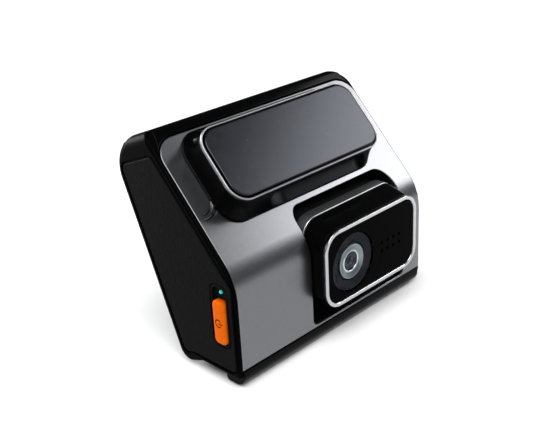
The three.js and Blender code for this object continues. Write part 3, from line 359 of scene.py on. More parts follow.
def node(mat, kind, **values):
    """A new node, with properties and inputs set by name."""
    made = mat.node_tree.nodes.new(kind)
    for key, value in values.items():
        if hasattr(made, key):
            setattr(made, key, value)
        else:
            made.inputs[key.replace("_", " ")].default_value = value
    return made


def link(mat, out, into):
    mat.node_tree.links.new(out, into)


def vary(mat, scale, amount, tint=0.0):
    """Roughness, and with tint the colour, vary with noise of a scale in cycles per metre."""
    bsdf = mat.node_tree.nodes["Principled BSDF"]
    coords = node(mat, "ShaderNodeTexCoord")
    noise = node(mat, "ShaderNodeTexNoise", Scale=scale, Detail=4.0, Roughness=0.6)
    link(mat, coords.outputs["Object"], noise.inputs["Vector"])
    rough = bsdf.inputs["Roughness"].default_value
    span = node(mat, "ShaderNodeMapRange")
    span.inputs["To Min"].default_value = max(0.02, rough - amount)
    span.inputs["To Max"].default_value = rough + amount
    link(mat, noise.outputs["Fac"], span.inputs["Value"])
    link(mat, span.outputs["Result"], bsdf.inputs["Roughness"])
    if tint:
        base = bsdf.inputs["Base Color"].default_value[:3]
        ramp = node(mat, "ShaderNodeValToRGB")
        ramp.color_ramp.elements[0].position = 0.3
        ramp.color_ramp.elements[1].position = 0.7
        ramp.color_ramp.elements[0].color = (*[c * (1 - tint) for c in base], 1)
        ramp.color_ramp.elements[1].color = (*[min(1, c * (1 + tint)) for c in base], 1)
        link(mat, noise.outputs["Fac"], ramp.inputs["Fac"])
        link(mat, ramp.outputs["Color"], bsdf.inputs["Base Color"])
    return mat


def grain(mat, scale, depth, kind="noise"):
    """A bump of a depth in mm, from noise or cells, on top of any bump already there."""
    bsdf = mat.node_tree.nodes["Principled BSDF"]
    coords = node(mat, "ShaderNodeTexCoord")
    if kind == "noise":
        tex = node(mat, "ShaderNodeTexNoise", Scale=scale, Detail=3.0, Roughness=0.55)
        height = tex.outputs["Fac"]
    else:
        tex = node(mat, "ShaderNodeTexVoronoi", feature="F1", Scale=scale, Randomness=1.0)
        height = tex.outputs["Distance"]
    link(mat, coords.outputs["Object"], tex.inputs["Vector"])
    bump = node(mat, "ShaderNodeBump", Strength=1.0, Distance=depth * 0.001)
    link(mat, height, bump.inputs["Height"])
    normal = bsdf.inputs["Normal"]
    if normal.is_linked:
        link(mat, normal.links[0].from_socket, bump.inputs["Normal"])
    link(mat, bump.outputs["Normal"], normal)
    return mat


# metals
satin = grain(vary(shader("satin_shell", (0.178, 0.181, 0.191), 0.30, 1.0), 900, 0.04, 0.04), 5200, 0.004)
# the collar's satin is paler than the shell's so that its band looks lit in the opening's shade: painted
# light
collar_painted_lit = grain(vary(shader("satin_collar_painted_lit", (0.56, 0.57, 0.60), 0.36, 1.0), 900, 0.04, 0.04), 5200, 0.003)
polished = vary(shader("polished_rim", (0.38, 0.385, 0.40), 0.38, 1.0), 700, 0.05)
lens_ring = vary(shader("lens_ring", (0.26, 0.29, 0.275), 0.34, 1.0), 700, 0.05)
# a paler copy of the lens ring's metal for its inner rim: a painted highlight
lens_painted_highlight = vary(shader("lens_inner_ring_painted_highlight", (0.80, 0.80, 0.78), 0.25, 1.0), 700, 0.05)
chrome = vary(shader("chrome_trim", (0.50, 0.50, 0.51), 0.22, 1.0), 400, 0.03)
pad_grey = grain(vary(shader("pad_grey", (0.036, 0.038, 0.0435), 0.26, 1.0), 500, 0.04, 0.06), 3000, 0.008)
steel = vary(shader("plated_steel", (0.55, 0.56, 0.58), 0.28, 1.0), 900, 0.08, 0.05)
aluminium = grain(vary(shader("aluminium", (0.66, 0.67, 0.69), 0.36, 1.0), 900, 0.08, 0.05), 2500, 0.01)

# blacks, whose low index of refraction keeps the pale studio out of them
gloss = vary(shader("gloss_black", (0.0014, 0.0014, 0.0016), 0.13, IOR=1.11), 260, 0.04, 0.2)
plate = vary(shader("black_plate", (0.0012, 0.0012, 0.0013), 0.08, IOR=1.05), 300, 0.03, 0.2)
matte = vary(shader("matte_black", (0.0010, 0.0010, 0.0011), 0.42, IOR=1.06), 500, 0.06, 0.15)
matte = grain(matte, 2600, 0.012)
leather = vary(shader("grained_black", (0.0034, 0.0033, 0.0033), 0.5, IOR=1.08), 900, 0.08, 0.3)
leather = grain(grain(leather, 1150, 0.06, "cells"), 4200, 0.01)
dark_ring = vary(shader("dark_ring", (0.019, 0.019, 0.0215), 0.45, IOR=1.08), 700, 0.06, 0.1)
dark_ring = grain(dark_ring, 3000, 0.008)
# black for the pieces inside, and on the sleeve behind its band a painted shade
black_inner_and_painted_shade = shader("black_inner_and_painted_shade", (0.003, 0.003, 0.0034), 0.6, Specular_IOR_Level=0.15)
black_inner_and_painted_shade = grain(vary(black_inner_and_painted_shade, 600, 0.08, 0.2), 2400, 0.02)

# colours, glass and the pieces inside
orange = vary(shader("orange_button", (0.66, 0.105, 0.0003), 0.40, IOR=1.10), 700, 0.05, 0.06)
orange = grain(orange, 3600, 0.006)
orange_dark = vary(shader("orange_mark", (0.10, 0.010, 0.001), 0.6, IOR=1.05), 700, 0.05, 0.1)
teal = shader("status_teal", (0.01, 0.42, 0.36), 0.3, Emission_Color=(0.03, 0.75, 0.65, 1),
              Emission_Strength=0.35)
teal = vary(teal, 500, 0.05, 0.1)
screen = shader("screen_glass", (0.003, 0.003, 0.004), 0.05, Specular_IOR_Level=0.35)
screen = vary(screen, 200, 0.02, 0.2)
lens_clear = shader("lens_clear", (0.93, 0.96, 1.0), 0.03, Transmission_Weight=1.0, IOR=1.04)
lens_clear = vary(lens_clear, 300, 0.02)
lens_coat = vary(shader("lens_coated", (0.011, 0.013, 0.024), 0.07, IOR=1.3), 300, 0.02, 0.2)
board = grain(vary(shader("solder_mask", (0.008, 0.05, 0.022), 0.35), 300, 0.06, 0.35), 1200, 0.02, "cells")
chip = grain(vary(shader("moulded_chip", (0.02, 0.02, 0.022), 0.6), 800, 0.06, 0.15), 3000, 0.01)
ceramic = vary(shader("ceramic", (0.62, 0.56, 0.44), 0.5), 700, 0.08, 0.08)
amber = vary(shader("amber_film", (0.45, 0.2, 0.03), 0.3), 500, 0.06, 0.12)
blue_wrap = vary(shader("capacitor_wrap", (0.015, 0.03, 0.09), 0.35), 500, 0.06, 0.15)


def put(obj, body, replaced, mats):
    """Gives a piece its materials and its body, and hides the CAD node that it stands for."""
    for mat in mats:
        obj.data.materials.append(mat)
    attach(obj, body)
    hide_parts(replaced)


# ---------------------------------------------------------------- housing

def path_of_front(offset, top, low=0.0):
    """The front and the slope, offset inwards, from low up to top along the slope."""
    c = meeting(SIDES[0], SIDES[1], offset, offset)
    a = Vector((offset, low))
    b = Vector((top * sc + offset * ss, FRONT_HEIGHT + top * ss - offset * sc))
    radius = BEND_RADIUS - offset
    u, v = (a - c).normalized(), (b - c).normalized()
    half = u.angle(v) / 2
    reach = radius / math.tan(half)
    start = c + u * reach
    centre = c + (u + v).normalized() * (reach / math.cos(half))
    sweep = math.pi - 2 * half
    first = math.atan2(start.y - centre.y, start.x - centre.x)
    n = 20
    arc = [Vector((centre.x + radius * math.cos(first - sweep * k / n),
                   centre.y + radius * math.sin(first - sweep * k / n))) for k in range(n + 1)]
    return [a, *arc, b]


def corner_cutter(side, top, half, radius):
    """What a rounded top corner leaves out, on the slope."""
    pts = [Vector((half + 3, top + 3)), Vector((half - radius, top + 3))]
    for k in range(13):
        t = math.pi / 2 * (1 - k / 12)
        pts.append(Vector((half - radius + radius * math.cos(t), top - radius + radius * math.sin(t))))
    pts.append(Vector((half + 3, top - radius)))
    pts = [Vector((side * p.x, p.y)) for p in pts]
    return prism("corner", SLANT, pts, -14, 14)


def shell_block(name, outer, inner, top, half, low, radius):
    """A bent sheet between two offsets from the front and slope, with rounded top corners."""
    pts = path_of_front(outer, top, low) + path_of_front(inner, top, low)[::-1]
    obj = prism(name, SIDE, pts, -half, half)
    return combine(obj, [corner_cutter(s, top, half, radius) for s in (-1, 1)])


opening_left = MODULE_X - MODULE_WIDTH / 2 - OPENING_SIDE
opening_right = MODULE_X + MODULE_WIDTH / 2 + OPENING_SIDE
opening_top = MODULE_Z + MODULE_HEIGHT / 2 + OPENING_ROOM
OPENING_RADII = (2.2, 2.2, 6.4, 4.0)  # counterclockwise from the lower left


def passage(margin, low, high):
    """The lens module's opening, from front to back."""
    view = rect(opening_left - margin, OPENING_BOTTOM - margin, opening_right + margin, opening_top + margin,
                [r + margin for r in OPENING_RADII])
    return prism("passage", FRONT, view, low, high)


shell = shell_block("front_shell_skin", 0, SHELL_WALL, shell_top, HALF_WIDTH, 0, SHELL_CORNER)
combine(shell, [passage(0, -FAR, 20)])
# two grooves for a thumb beside the bracket's foot
SCOOP_CENTRE = Vector((-41.9, 28.0))
SCOOP_DEPTH = 0.45


def crescent(radius, first, sweep, width):
    """A groove along an arc on the slope, in degrees, that tapers to its ends."""
    edge = []
    for sign, order in ((1, range(25)), (-1, range(24, -1, -1))):
        for k in order:
            t = math.radians(first + sweep * k / 24)
            r = radius + sign * width / 2 * math.sin(math.pi * (0.04 + 0.92 * k / 24))
            edge.append(SCOOP_CENTRE + Vector((r * math.cos(t), r * math.sin(t))))
    return prism("crescent", SLANT, edge, -SCOOP_DEPTH, 2)


combine(shell, [crescent(5.15, -8, -88, 0.6), crescent(6.87, 18, -122, 0.75)])
clean(shell, planar=False)
put(shell, "device", "front_shell", mats=[satin])
soften(shell, 0.35)
smooth(shell)

SEAT = SHELL_WALL + GAP
TOP_CORNER = 9
housing_half = HALF_WIDTH - GAP
cap_inner = HALF_WIDTH + 0.2
cap_outer = cap_inner + CAP_FLANGE


def hollow(low, high, **insets):
    """A cutter for the room inside, along X."""
    view = outline({"chin": BASE_WALL, "recess": BASE_WALL, **insets}, lip=False)
    return prism("hollow", SIDE, view, low, high)


# the top right corner is rounder than the rest, so the room inside stays lower there
RIGHT_END = 35
behind_shell = {"front": SEAT + BACKING_WALL, "slant": SEAT + BACKING_WALL, "rear": -4}
housing = prism("main_housing_skin", SIDE, outline(), -housing_half, housing_half)
rebate = shell_block("rebate", -4, SEAT, shell_top + GAP, HALF_WIDTH + GAP, -GAP, SHELL_CORNER + GAP)
rooms = [hollow(-FAR, RIGHT_END, top=HOUSING_WALL, **behind_shell),
         hollow(RIGHT_END - 1, FAR, top=TOP_CORNER, **behind_shell)]
behind = prism("behind", REAR, rect(-FAR, -20, FAR, 100), -COVER_DEPTH - GAP, 20)


def wrap_view(m):
    """Where a cap covers the housing's top, seen on the slope: down the side of the shell's corner."""
    left, bend, reach, drop = cap_inner - CAP_WRAP - GAP + m, shell_top + 4, 2.6, 6.8
    beyond = shell_top + 30
    pts = [Vector((left, beyond)), Vector((left, bend))]
    for k in range(1, 13):
        t = math.pi / 2 * k / 12
        pts.append(Vector((left + reach * (1 - math.cos(t)), bend - drop * math.sin(t) + m)))
    return pts + [Vector((FAR, bend - drop + m)), Vector((FAR, beyond))]


def top_corner():
    """Rounds the body's top right corner from front to back, as seen square to the rear."""
    side, top, r = cap_outer, TOP_LENGTH, TOP_CORNER
    pts = [Vector((-side - 3, top + 3)), Vector((-side - 3, top - r))]
    for k in range(19):
        t = math.pi / 2 * k / 18
        pts.append(Vector((-side + r * (1 - math.cos(t)), top - r * (1 - math.sin(t)))))
    return prism("top_corner", REAR, pts + [Vector((-side + r, top + 3))], -70, 20)


wraps = [prism("wrap", Matrix.Scale(s, 4, (1, 0, 0)) @ SLANT, wrap_view(0), -40, 12) for s in (-1, 1)]
wraps.append(top_corner())
combine(housing, [rebate, *rooms, behind, *wraps])
combine(housing, [passage(GAP, -20, 20)])
clean(housing)
put(housing, "device", "main_housing", mats=[gloss])
soften(housing, 0.4)
smooth(housing)

cover = prism("rear_cover_skin", SIDE, outline(), -housing_half, housing_half)
keep = prism("keep", REAR, rect(-FAR, -20, FAR, 100), -COVER_DEPTH, 20)
combine(cover, [keep], "INTERSECT")
rooms = [hollow(-FAR, RIGHT_END, top=HOUSING_WALL, rear=COVER_WALL),
         hollow(RIGHT_END - 1, FAR, top=TOP_CORNER, rear=COVER_WALL)]
glass_width = 2 * (housing_half - GLASS_SIDE)
glass_high = TOP_LENGTH - GLASS_BELOW
panel_high = TOP_LENGTH - PANEL_BELOW


def glass_view(margin):
    return centred(0, (GLASS_LOW + glass_high) / 2, glass_width + 2 * margin,
                   glass_high - GLASS_LOW + 2 * margin, 4 + margin)


seat = prism("seat", REAR, glass_view(GAP), -1 - GAP, 5)
window = prism("window", REAR, centred(0, (PANEL_LOW + panel_high) / 2, PANEL_WIDTH + 2 * GAP,
                                       panel_high - PANEL_LOW + 2 * GAP, 1), -COVER_DEPTH - 1, 5)
combine(cover, [*rooms, seat, window, top_corner()])
clean(cover)
put(cover, "device", "rear_cover", mats=[gloss])
soften(cover, 0.3)
smooth(cover)

glass = loft("display_glass_skin", REAR, [
    (glass_view(0), -1), (glass_view(0), -0.35), *[(glass_view(-i), -0.35 + r) for i, r in fillet(0.35)[1:]]])
put(glass, "device", "display_glass", mats=[screen])
smooth(glass)

# ---------------------------------------------------------------- end caps

BUTTON = {"y": 7, "z": 15.5, "w": 5.2, "h": 15, "r": 1.7}
BUTTON_STAND = 1
BUTTON_REACH = 4.4
BEZEL_WALL, BEZEL_DEPTH = 0.8, 3.6
LIGHT_ZONE, LIGHT_RADIUS = 4, 0.6
bezel_w = BUTTON["w"] + 2 * (GAP + BEZEL_WALL)
bezel_low = BUTTON["z"] - BUTTON["h"] / 2 - GAP - BEZEL_WALL
bezel_high = BUTTON["z"] + BUTTON["h"] / 2 + GAP + BEZEL_WALL + LIGHT_ZONE
light_z = bezel_high - BEZEL_WALL - LIGHT_ZONE / 2 + 0.2


def bezel_view(m):
    return rect(BUTTON["y"] - bezel_w / 2 - m, bezel_low - m, BUTTON["y"] + bezel_w / 2 + m, bezel_high + m,
                BUTTON["r"] + BEZEL_WALL + m)


def inlay_view(m):
    return outline({k: v - m for k, v in INLAY_BORDER.items()}, lip=False, corner=2.5 + m)


# each cap's edge radii, and how far its front and slope edges are set back
EDGE_LEFT = {"front": 1.0, "slant": 1.1, "top": 3.6, "rear": 1.6, "chin": 1.1, "recess": 1.0}
EDGE_RIGHT = {**EDGE_LEFT, "front": 1.15, "slant": 1.2}
SET_BACK_RIGHT = 0.6
CAP_DEPTHS = [0, 0.05, 0.15, 0.3, 0.5, 0.75, 1.0, 1.3, 1.7, 2.2, 2.7, 3.2, 3.6]


def cap_loop(depth, edge, back):
    """The cap's outline at a depth in from its outer face, each side rounded by its own radius."""
    insets = {}
    for side, r in edge.items():
        d = min(depth, r)
        insets[side] = r - math.sqrt(max(0, r * r - (r - d) ** 2))
        if side in ("front", "slant"):
            insets[side] += back
    return outline(insets, lip=False)


def cap(side):
    """An end cap and its inlay; side is -1 at the button's end and 1 at the sockets' end."""
    left = side < 0
    name = "left" if left else "right"
    mirror = Matrix.Scale(-1, 4, (1, 0, 0)) if left else Matrix.Identity(4)
    where = mirror @ SIDE
    edge, back = (EDGE_LEFT, 0) if left else (EDGE_RIGHT, SET_BACK_RIGHT)
    obj = loft(f"{name}_cap_skin", where, [(cap_loop(d, edge, back), cap_outer - d) for d in CAP_DEPTHS])

    def mouths(margin):
        return [prism("mouth", where, bezel_view(GAP), 30, FAR)] if left else end_mouths(margin)

    def inner_slab():
        return prism("slab", where, rect(-80, -80, 90, 90), cap_outer - 4, cap_inner)

    # inwards of its flange the cap keeps only what goes over the housing's top
    below = combine(inner_slab(), [prism("wrap", mirror @ SLANT, wrap_view(0.15), -60, 30)])
    behind = prism("back", mirror @ REAR, [Vector((-p.x, p.y)) for p in rect(30, -20, FAR, 100)],
                   -COVER_DEPTH - GAP, 20)
    combine(behind, [inner_slab()], "INTERSECT")
    room = outline({"top": CAP_HOLLOW if left else TOP_CORNER, "all": CAP_HOLLOW}, lip=False)
    cutters = [below, behind, prism("core", where, room, cap_outer - 4, cap_inner)]
    if not left:
        cutters.append(top_corner())
    cutters.append(prism("tray", where, inlay_view(GAP + 0.25), cap_outer - INLAY_DEPTH, cap_outer + 5))
    combine(obj, cutters + mouths(GAP))
    clean(obj)
    put(obj, "device", f"{name}_cap", mats=[matte])
    soften(obj, 0.18, segments=2, angle=40)
    smooth(obj)

    base = cap_outer - INLAY_DEPTH + 0.05
    inlay = loft(f"{name}_inlay_skin", where, [
        (inlay_view(-0.25), base), (inlay_view(-0.25), cap_outer - 0.35),
        *[(inlay_view(-0.25 - i), cap_outer - 0.35 + r) for i, r in fillet(0.38)[1:]]])
    combine(inlay, mouths(0.5))
    clean(inlay)
    put(inlay, "device", f"{name}_inlay", mats=[leather])
    soften(inlay, 0.15, segments=2, angle=50)
    smooth(inlay)


USB_UP, CARD_UP = 22.5, 40.5
USB_WIDTH, USB_HEIGHT = 9, 3.3
CARD_WIDTH, CARD_THICKNESS = 11, 1
SOCKET_FRONT = -9.2 - GAP  # from the rear face


def end_mouths(m):
    """The mouths of the two sockets in the right end."""
    usb = centred(SOCKET_FRONT - USB_HEIGHT / 2, USB_UP, USB_HEIGHT + 2 * m, USB_WIDTH + 2 * m, 1.4 + m)
    card = centred(SOCKET_FRONT - 1.0, CARD_UP, CARD_THICKNESS + 2 * m, CARD_WIDTH + 2 * m)
    return [prism("usb", END, usb, 30, FAR), prism("card", END, card, 30, FAR)]


for s in (-1, 1):
    cap(s)

# ---------------------------------------------------------------- power button

LEFT = Matrix.Scale(-1, 4, (1, 0, 0)) @ SIDE
bezel = loft("button_bezel_skin", LEFT, [
    (bezel_view(0), cap_outer - BEZEL_DEPTH), (bezel_view(0), cap_outer - 0.3),
    *[(bezel_view(-i), cap_outer - 0.3 + r) for i, r in fillet(0.28, 4)[1:]]])
recess_view = rect(BUTTON["y"] - bezel_w / 2 + BEZEL_WALL, bezel_low + BEZEL_WALL,
                   BUTTON["y"] + bezel_w / 2 - BEZEL_WALL, bezel_high - BEZEL_WALL, BUTTON["r"])


def button_view(m):
    return centred(BUTTON["y"], BUTTON["z"], BUTTON["w"] + 2 * m, BUTTON["h"] + 2 * m, BUTTON["r"] + m)


combine(bezel, [prism("recess", LEFT, recess_view, cap_outer - 1, FAR),
                prism("hole", LEFT, button_view(GAP), 30, FAR),
                prism("light", LEFT, circle(BUTTON["y"], light_z, LIGHT_RADIUS + GAP, 24), 30, FAR)])
clean(bezel)
put(bezel, "device", "button_bezel", mats=[leather])
soften(bezel, 0.12, segments=2, angle=40)
smooth(bezel)

face = cap_outer + BUTTON_STAND
key_loops = [(button_view(0), face - BUTTON_REACH), (button_view(0), face - 0.9)]
key_loops += [(button_view(-i), face - 0.9 + r) for i, r in fillet(0.8, 6)[1:]]
key_loops += [(button_view(-1.2), face - 0.03), (button_view(-1.6), face)]
key = loft("power_button_skin", LEFT, key_loops)

# the power sign: a broken ring of a radius and width, and a bar in its gap, engraved to a depth
MARK_TURN = math.radians(185)
MARK_GAP = 38  # half the ring's gap, in degrees
MARK_RADIUS, MARK_WIDTH, MARK_DEPTH = 1.25, 0.4, 0.3
MARK_BAR = (0.1, 1.75)
mark_at = Vector((BUTTON["y"], BUTTON["z"]))


def mark_arc(r, order):
    turns = [MARK_TURN + math.radians(MARK_GAP + (360 - 2 * MARK_GAP) * k / 32) for k in order]
    return [mark_at + Vector((r * math.cos(t), r * math.sin(t))) for t in turns]


along = Vector((math.cos(MARK_TURN), math.sin(MARK_TURN)))
across = Vector((-math.sin(MARK_TURN), math.cos(MARK_TURN)))
half = MARK_WIDTH / 2
bar = [mark_at + along * a + across * b for a, b in
       ((MARK_BAR[0], -half), (MARK_BAR[1], -half), (MARK_BAR[1], half), (MARK_BAR[0], half))]
ring = mark_arc(MARK_RADIUS + half, range(33)) + mark_arc(MARK_RADIUS - half, range(32, -1, -1))
combine(key, [prism("mark", LEFT, view, face - MARK_DEPTH, face + 1) for view in (ring, bar)])
clean(key, planar=False)
for p in key.data.polygons:
    c = TO_PART.inverted() @ p.center
    in_mark = (Vector((c.y, c.z)) - mark_at).length < MARK_BAR[1] + 0.05
    if in_mark and 0.1 < c.x + face < MARK_DEPTH + 0.02:
        p.material_index = 1
put(key, "button", "power_button", mats=[orange, orange_dark])
smooth(key)

light = turned("status_light_skin", LEFT, BUTTON["y"], light_z, [
    (0, cap_outer - 5), (LIGHT_RADIUS, cap_outer - 5), (LIGHT_RADIUS, cap_outer - 0.95),
    (LIGHT_RADIUS - 0.1, cap_outer - 0.8), (LIGHT_RADIUS - 0.3, cap_outer - 0.72), (0, cap_outer - 0.7)], 32)
put(light, "device", "status_light", mats=[teal])
smooth(light)

# ---------------------------------------------------------------- lens module

BODY_RISE = 2.5  # of the body's top, from its front edge to its back edge
BODY_DEPTH = 8
BODY_FACE = 1.1
SLEEVE_DEPTH = 10.8
# the sleeve's satin band is painted paler than the shell to look lit
COLLAR_DEPTH = 4.4  # of the satin band at the sleeve's front
PIVOT_HOLE = 1.9
TRIM_WIDTH, TRIM_DEPTH = 1.4, 1.2
LENS_X, LENS_Z = MODULE_X - 10.15, MODULE_Z - 0.35
WINDOW_BORDER = 1.85
WINDOW_THICKNESS = 0.35
WINDOW_R = MODULE_HEIGHT / 2 - TRIM_WIDTH - 0.2 - WINDOW_BORDER
RET_R = 6  # of the bright retaining ring
LENS_HOLE = 3.3
HOLE_PITCH, HOLE_RADIUS = 3.15, 0.62


def module_view(m, rise=0.0):
    """The module's outline, with its top higher by a rise."""
    return centred(MODULE_X, MODULE_Z + rise / 2, MODULE_WIDTH + 2 * m, MODULE_HEIGHT + rise + 2 * m,
                   MODULE_CORNER + m, 20)


front_depth = -MODULE_FRONT
trim_back = front_depth - TRIM_DEPTH
trim = loft("module_trim_skin", FRONT, [
    (module_view(0), trim_back), (module_view(0), front_depth - 0.3),
    *[(module_view(-i), front_depth - 0.3 + r) for i, r in fillet(0.28, 5)[1:]],
    (module_view(-1.05), front_depth - 0.02), (module_view(-1.2), front_depth - 0.1),
    (module_view(-TRIM_WIDTH), front_depth - 0.45), (module_view(-TRIM_WIDTH), trim_back)], ring=True)
put(trim, "lens_module", "module_trim", mats=[chrome])
smooth(trim)


def window_hole(n):
    """The cutter for the lens window's hole, with n sides."""
    return prism("window", FRONT, circle(LENS_X, LENS_Z, WINDOW_R + 0.15, n), -20, 20)


plate_obj = loft("module_plate_skin", FRONT, [
    (module_view(-TRIM_WIDTH - 0.1), trim_back), (module_view(-TRIM_WIDTH - 0.1), front_depth - 0.35),
    (module_view(-TRIM_WIDTH - 0.2), front_depth - 0.2),
    (module_view(-TRIM_WIDTH - 0.4), front_depth - 0.15)])
holes = [circle(MODULE_X + 4.65 + i * HOLE_PITCH, MODULE_Z - 2.2 + j * HOLE_PITCH, HOLE_RADIUS, 20)
         for i in range(4) for j in range(2)]
combine(plate_obj, [window_hole(96), *[prism("hole", FRONT, view, 0, 20) for view in holes]])
clean(plate_obj, planar=False)
put(plate_obj, "lens_module", "module_glass", mats=[plate])
soften(plate_obj, 0.1, segments=2, angle=50)
smooth(plate_obj)

body_front = -(MODULE_FRONT + TRIM_DEPTH + GAP)
body_back = body_front - BODY_DEPTH
body_obj = loft("module_body_skin", FRONT, [
    (module_view(-0.25), body_front), (module_view(0, 0.1), body_front - 0.25),
    (module_view(0, BODY_RISE - 0.1), body_back + 0.3), (module_view(-0.3, BODY_RISE), body_back),
    (module_view(-MODULE_WALL, BODY_RISE), body_back), (module_view(-MODULE_WALL), body_front)], ring=True)
face_plate = prism("face", FRONT, module_view(-1.2), body_front - BODY_FACE, body_front)
combine(body_obj, [face_plate], "UNION")
combine(body_obj, [window_hole(64)])
clean(body_obj)
put(body_obj, "lens_module", "module_body", mats=[gloss])
smooth(body_obj)


def sleeve_view(m):
    return module_view(m, BODY_RISE)


sleeve_front = body_back - GAP
sleeve_back = sleeve_front - SLEEVE_DEPTH
collar_back = sleeve_front - COLLAR_DEPTH
sleeve = loft("module_sleeve_skin", FRONT, [
    (sleeve_view(-0.35), sleeve_front), (sleeve_view(-0.1), sleeve_front - 0.08),
    (sleeve_view(0), sleeve_front - 0.3), (sleeve_view(0), collar_back + 0.25),
    (sleeve_view(-0.25), collar_back), (sleeve_view(-0.7), collar_back),
    (sleeve_view(-0.7), sleeve_back + 0.4), (sleeve_view(-1), sleeve_back),
    (sleeve_view(-MODULE_WALL), sleeve_back), (sleeve_view(-MODULE_WALL), sleeve_front)], ring=True)
combine(sleeve, [prism("pivot", SIDE, circle(PIVOT_Y, MODULE_Z, PIVOT_HOLE, 32), -FAR, FAR)])
clean(sleeve, planar=False)
put(sleeve, "lens_module", "module_sleeve", mats=[collar_painted_lit, black_inner_and_painted_shade])
# the band takes the paler satin, a painted light; behind it the sleeve is black, a painted shade under the
# shell's edge
for p in sleeve.data.polygons:
    depth = -(TO_PART.inverted() @ p.center).y
    p.material_index = 0 if depth > collar_back + 0.1 else 1
smooth(sleeve)

window_obj = turned("lens_window_skin", FRONT, LENS_X, LENS_Z, [
    (0, front_depth - 0.2 - WINDOW_THICKNESS), (WINDOW_R, front_depth - 0.2 - WINDOW_THICKNESS),
    (WINDOW_R, front_depth - 0.3), (WINDOW_R - 0.1, front_depth - 0.22), (WINDOW_R - 0.4, front_depth - 0.2),
    (0, front_depth - 0.2)], 96)
put(window_obj, "lens_module", "lens_window", mats=[lens_clear])
smooth(window_obj)

ret = front_depth - 0.2 - WINDOW_THICKNESS - GAP
# in the profiles below, ret is the depth of the foremost point of the rings behind the window
baffle = turned("lens_baffle_skin", FRONT, LENS_X, LENS_Z, [
    (RET_R + 0.2, ret - 1.2), (WINDOW_R - 0.2, ret - 0.2), (WINDOW_R - 0.2, ret), (WINDOW_R - 0.5, ret),
    (WINDOW_R - 0.65, ret - 0.16), (RET_R + 2.6, ret - 0.12), (RET_R + 2.5, ret - 0.22),
    (RET_R + 1.0, ret - 0.28), (RET_R + 0.85, ret - 0.4), (RET_R + 0.2, ret - 0.43)], 96)
put(baffle, "lens_module", "lens_baffle", mats=[dark_ring])
smooth(baffle)

retainer = turned("lens_retainer_skin", FRONT, LENS_X, LENS_Z, [
    (LENS_HOLE, ret - 1.8), (RET_R, ret - 1.8), (RET_R, ret - 0.2), (RET_R - 0.15, ret - 0.05),
    (RET_R - 0.5, ret - 0.03), (RET_R - 0.6, ret - 0.16), (RET_R - 1.2, ret - 0.2),
    (RET_R - 1.3, ret - 0.34), (RET_R - 1.8, ret - 0.4), (RET_R - 1.9, ret - 0.54),
    (LENS_HOLE + 0.45, ret - 0.58), (LENS_HOLE + 0.36, ret - 0.44), (LENS_HOLE + 0.12, ret - 0.42),
    (LENS_HOLE, ret - 0.56)], 96)
put(retainer, "lens_module", "lens_retainer", mats=[lens_ring, lens_painted_highlight])
# the retainer's inner rim takes the paler metal, a painted highlight ring
for p in retainer.data.polygons:
    c = TO_PART.inverted() @ p.center
    inner = math.hypot(c.x - LENS_X, c.z - LENS_Z) < LENS_HOLE + 0.42
    p.material_index = 1 if inner else 0
smooth(retainer)


def arc_profile(radius, centre, rise, steps, order):
    """Points of a domed face, from its rim inwards."""
    turns = [math.pi / 2 * k / steps for k in order]
    return [(radius * math.cos(t), centre + rise * math.sin(t)) for t in turns]


LENS_R = LENS_HOLE - 0.1
front_lens = turned("front_lens_skin", FRONT, LENS_X, LENS_Z, [
    (0, ret - 3), (LENS_R, ret - 3), (LENS_R, ret - 1.15),
    *arc_profile(LENS_R, ret - 1.15, 0.5, 14, range(1, 8)),
    (1.9, ret - 0.86), (1.8, ret - 0.95), (1.62, ret - 0.93),
    *arc_profile(1.56, ret - 1.2, 0.65, 10, range(3, 10)), (0, ret - 0.55)], 72)
put(front_lens, "lens_module", "front_lens", mats=[lens_coat])
smooth(front_lens)

# ---------------------------------------------------------------- bracket

BRACKET_HEIGHT = 9.3
RIM_WIDTH, RIM_DEPTH = 0.6, 1
PAD_BORDER = 1.2
PAD_THICKNESS = 1.1


def bracket_view(m, flare=0.0):
    """The block's outline at its top, wider by a margin or by a share of the foot's flare."""
    w, h, r = [top + more * flare for top, more in zip(BRACKET_TOP, BRACKET_FLARE)]
    return centred(BRACKET_X, bracket_along, w + 2 * m, h + 2 * m, r + m, 20)


rim_floor = BRACKET_HEIGHT - RIM_DEPTH
steps = 14
low, high = GAP, rim_floor - 0.05
block = loft("mount_bracket_skin", SLANT, [
    (bracket_view(0, (1 - k / steps) ** 1.6), low + (high - low) * k / steps) for k in range(steps + 1)])
put(block, "bracket", "mount_bracket", mats=[gloss])
smooth(block)

rim = loft("mount_rim_skin", SLANT, [
    (bracket_view(0), rim_floor), (bracket_view(0), BRACKET_HEIGHT - 0.25),
    *[(bracket_view(-i), BRACKET_HEIGHT - 0.25 + r) for i, r in fillet(0.25)[1:]],
    (bracket_view(0.1 - RIM_WIDTH), BRACKET_HEIGHT - 0.08), (bracket_view(-RIM_WIDTH), BRACKET_HEIGHT - 0.3),
    (bracket_view(-RIM_WIDTH), rim_floor)], ring=True)
put(rim, "bracket", "mount_rim", mats=[polished])
smooth(rim)

pad = loft("adhesive_pad_skin", SLANT, [
    (bracket_view(-PAD_BORDER), PAD_FACE - PAD_THICKNESS), (bracket_view(-PAD_BORDER), PAD_FACE - 0.4),
    *[(bracket_view(-PAD_BORDER - i), PAD_FACE - 0.4 + r) for i, r in fillet(0.4)[1:]]])
put(pad, "bracket", "adhesive_pad", mats=[pad_grey])
smooth(pad)

# ---------------------------------------------------------------- pieces that keep their CAD shape

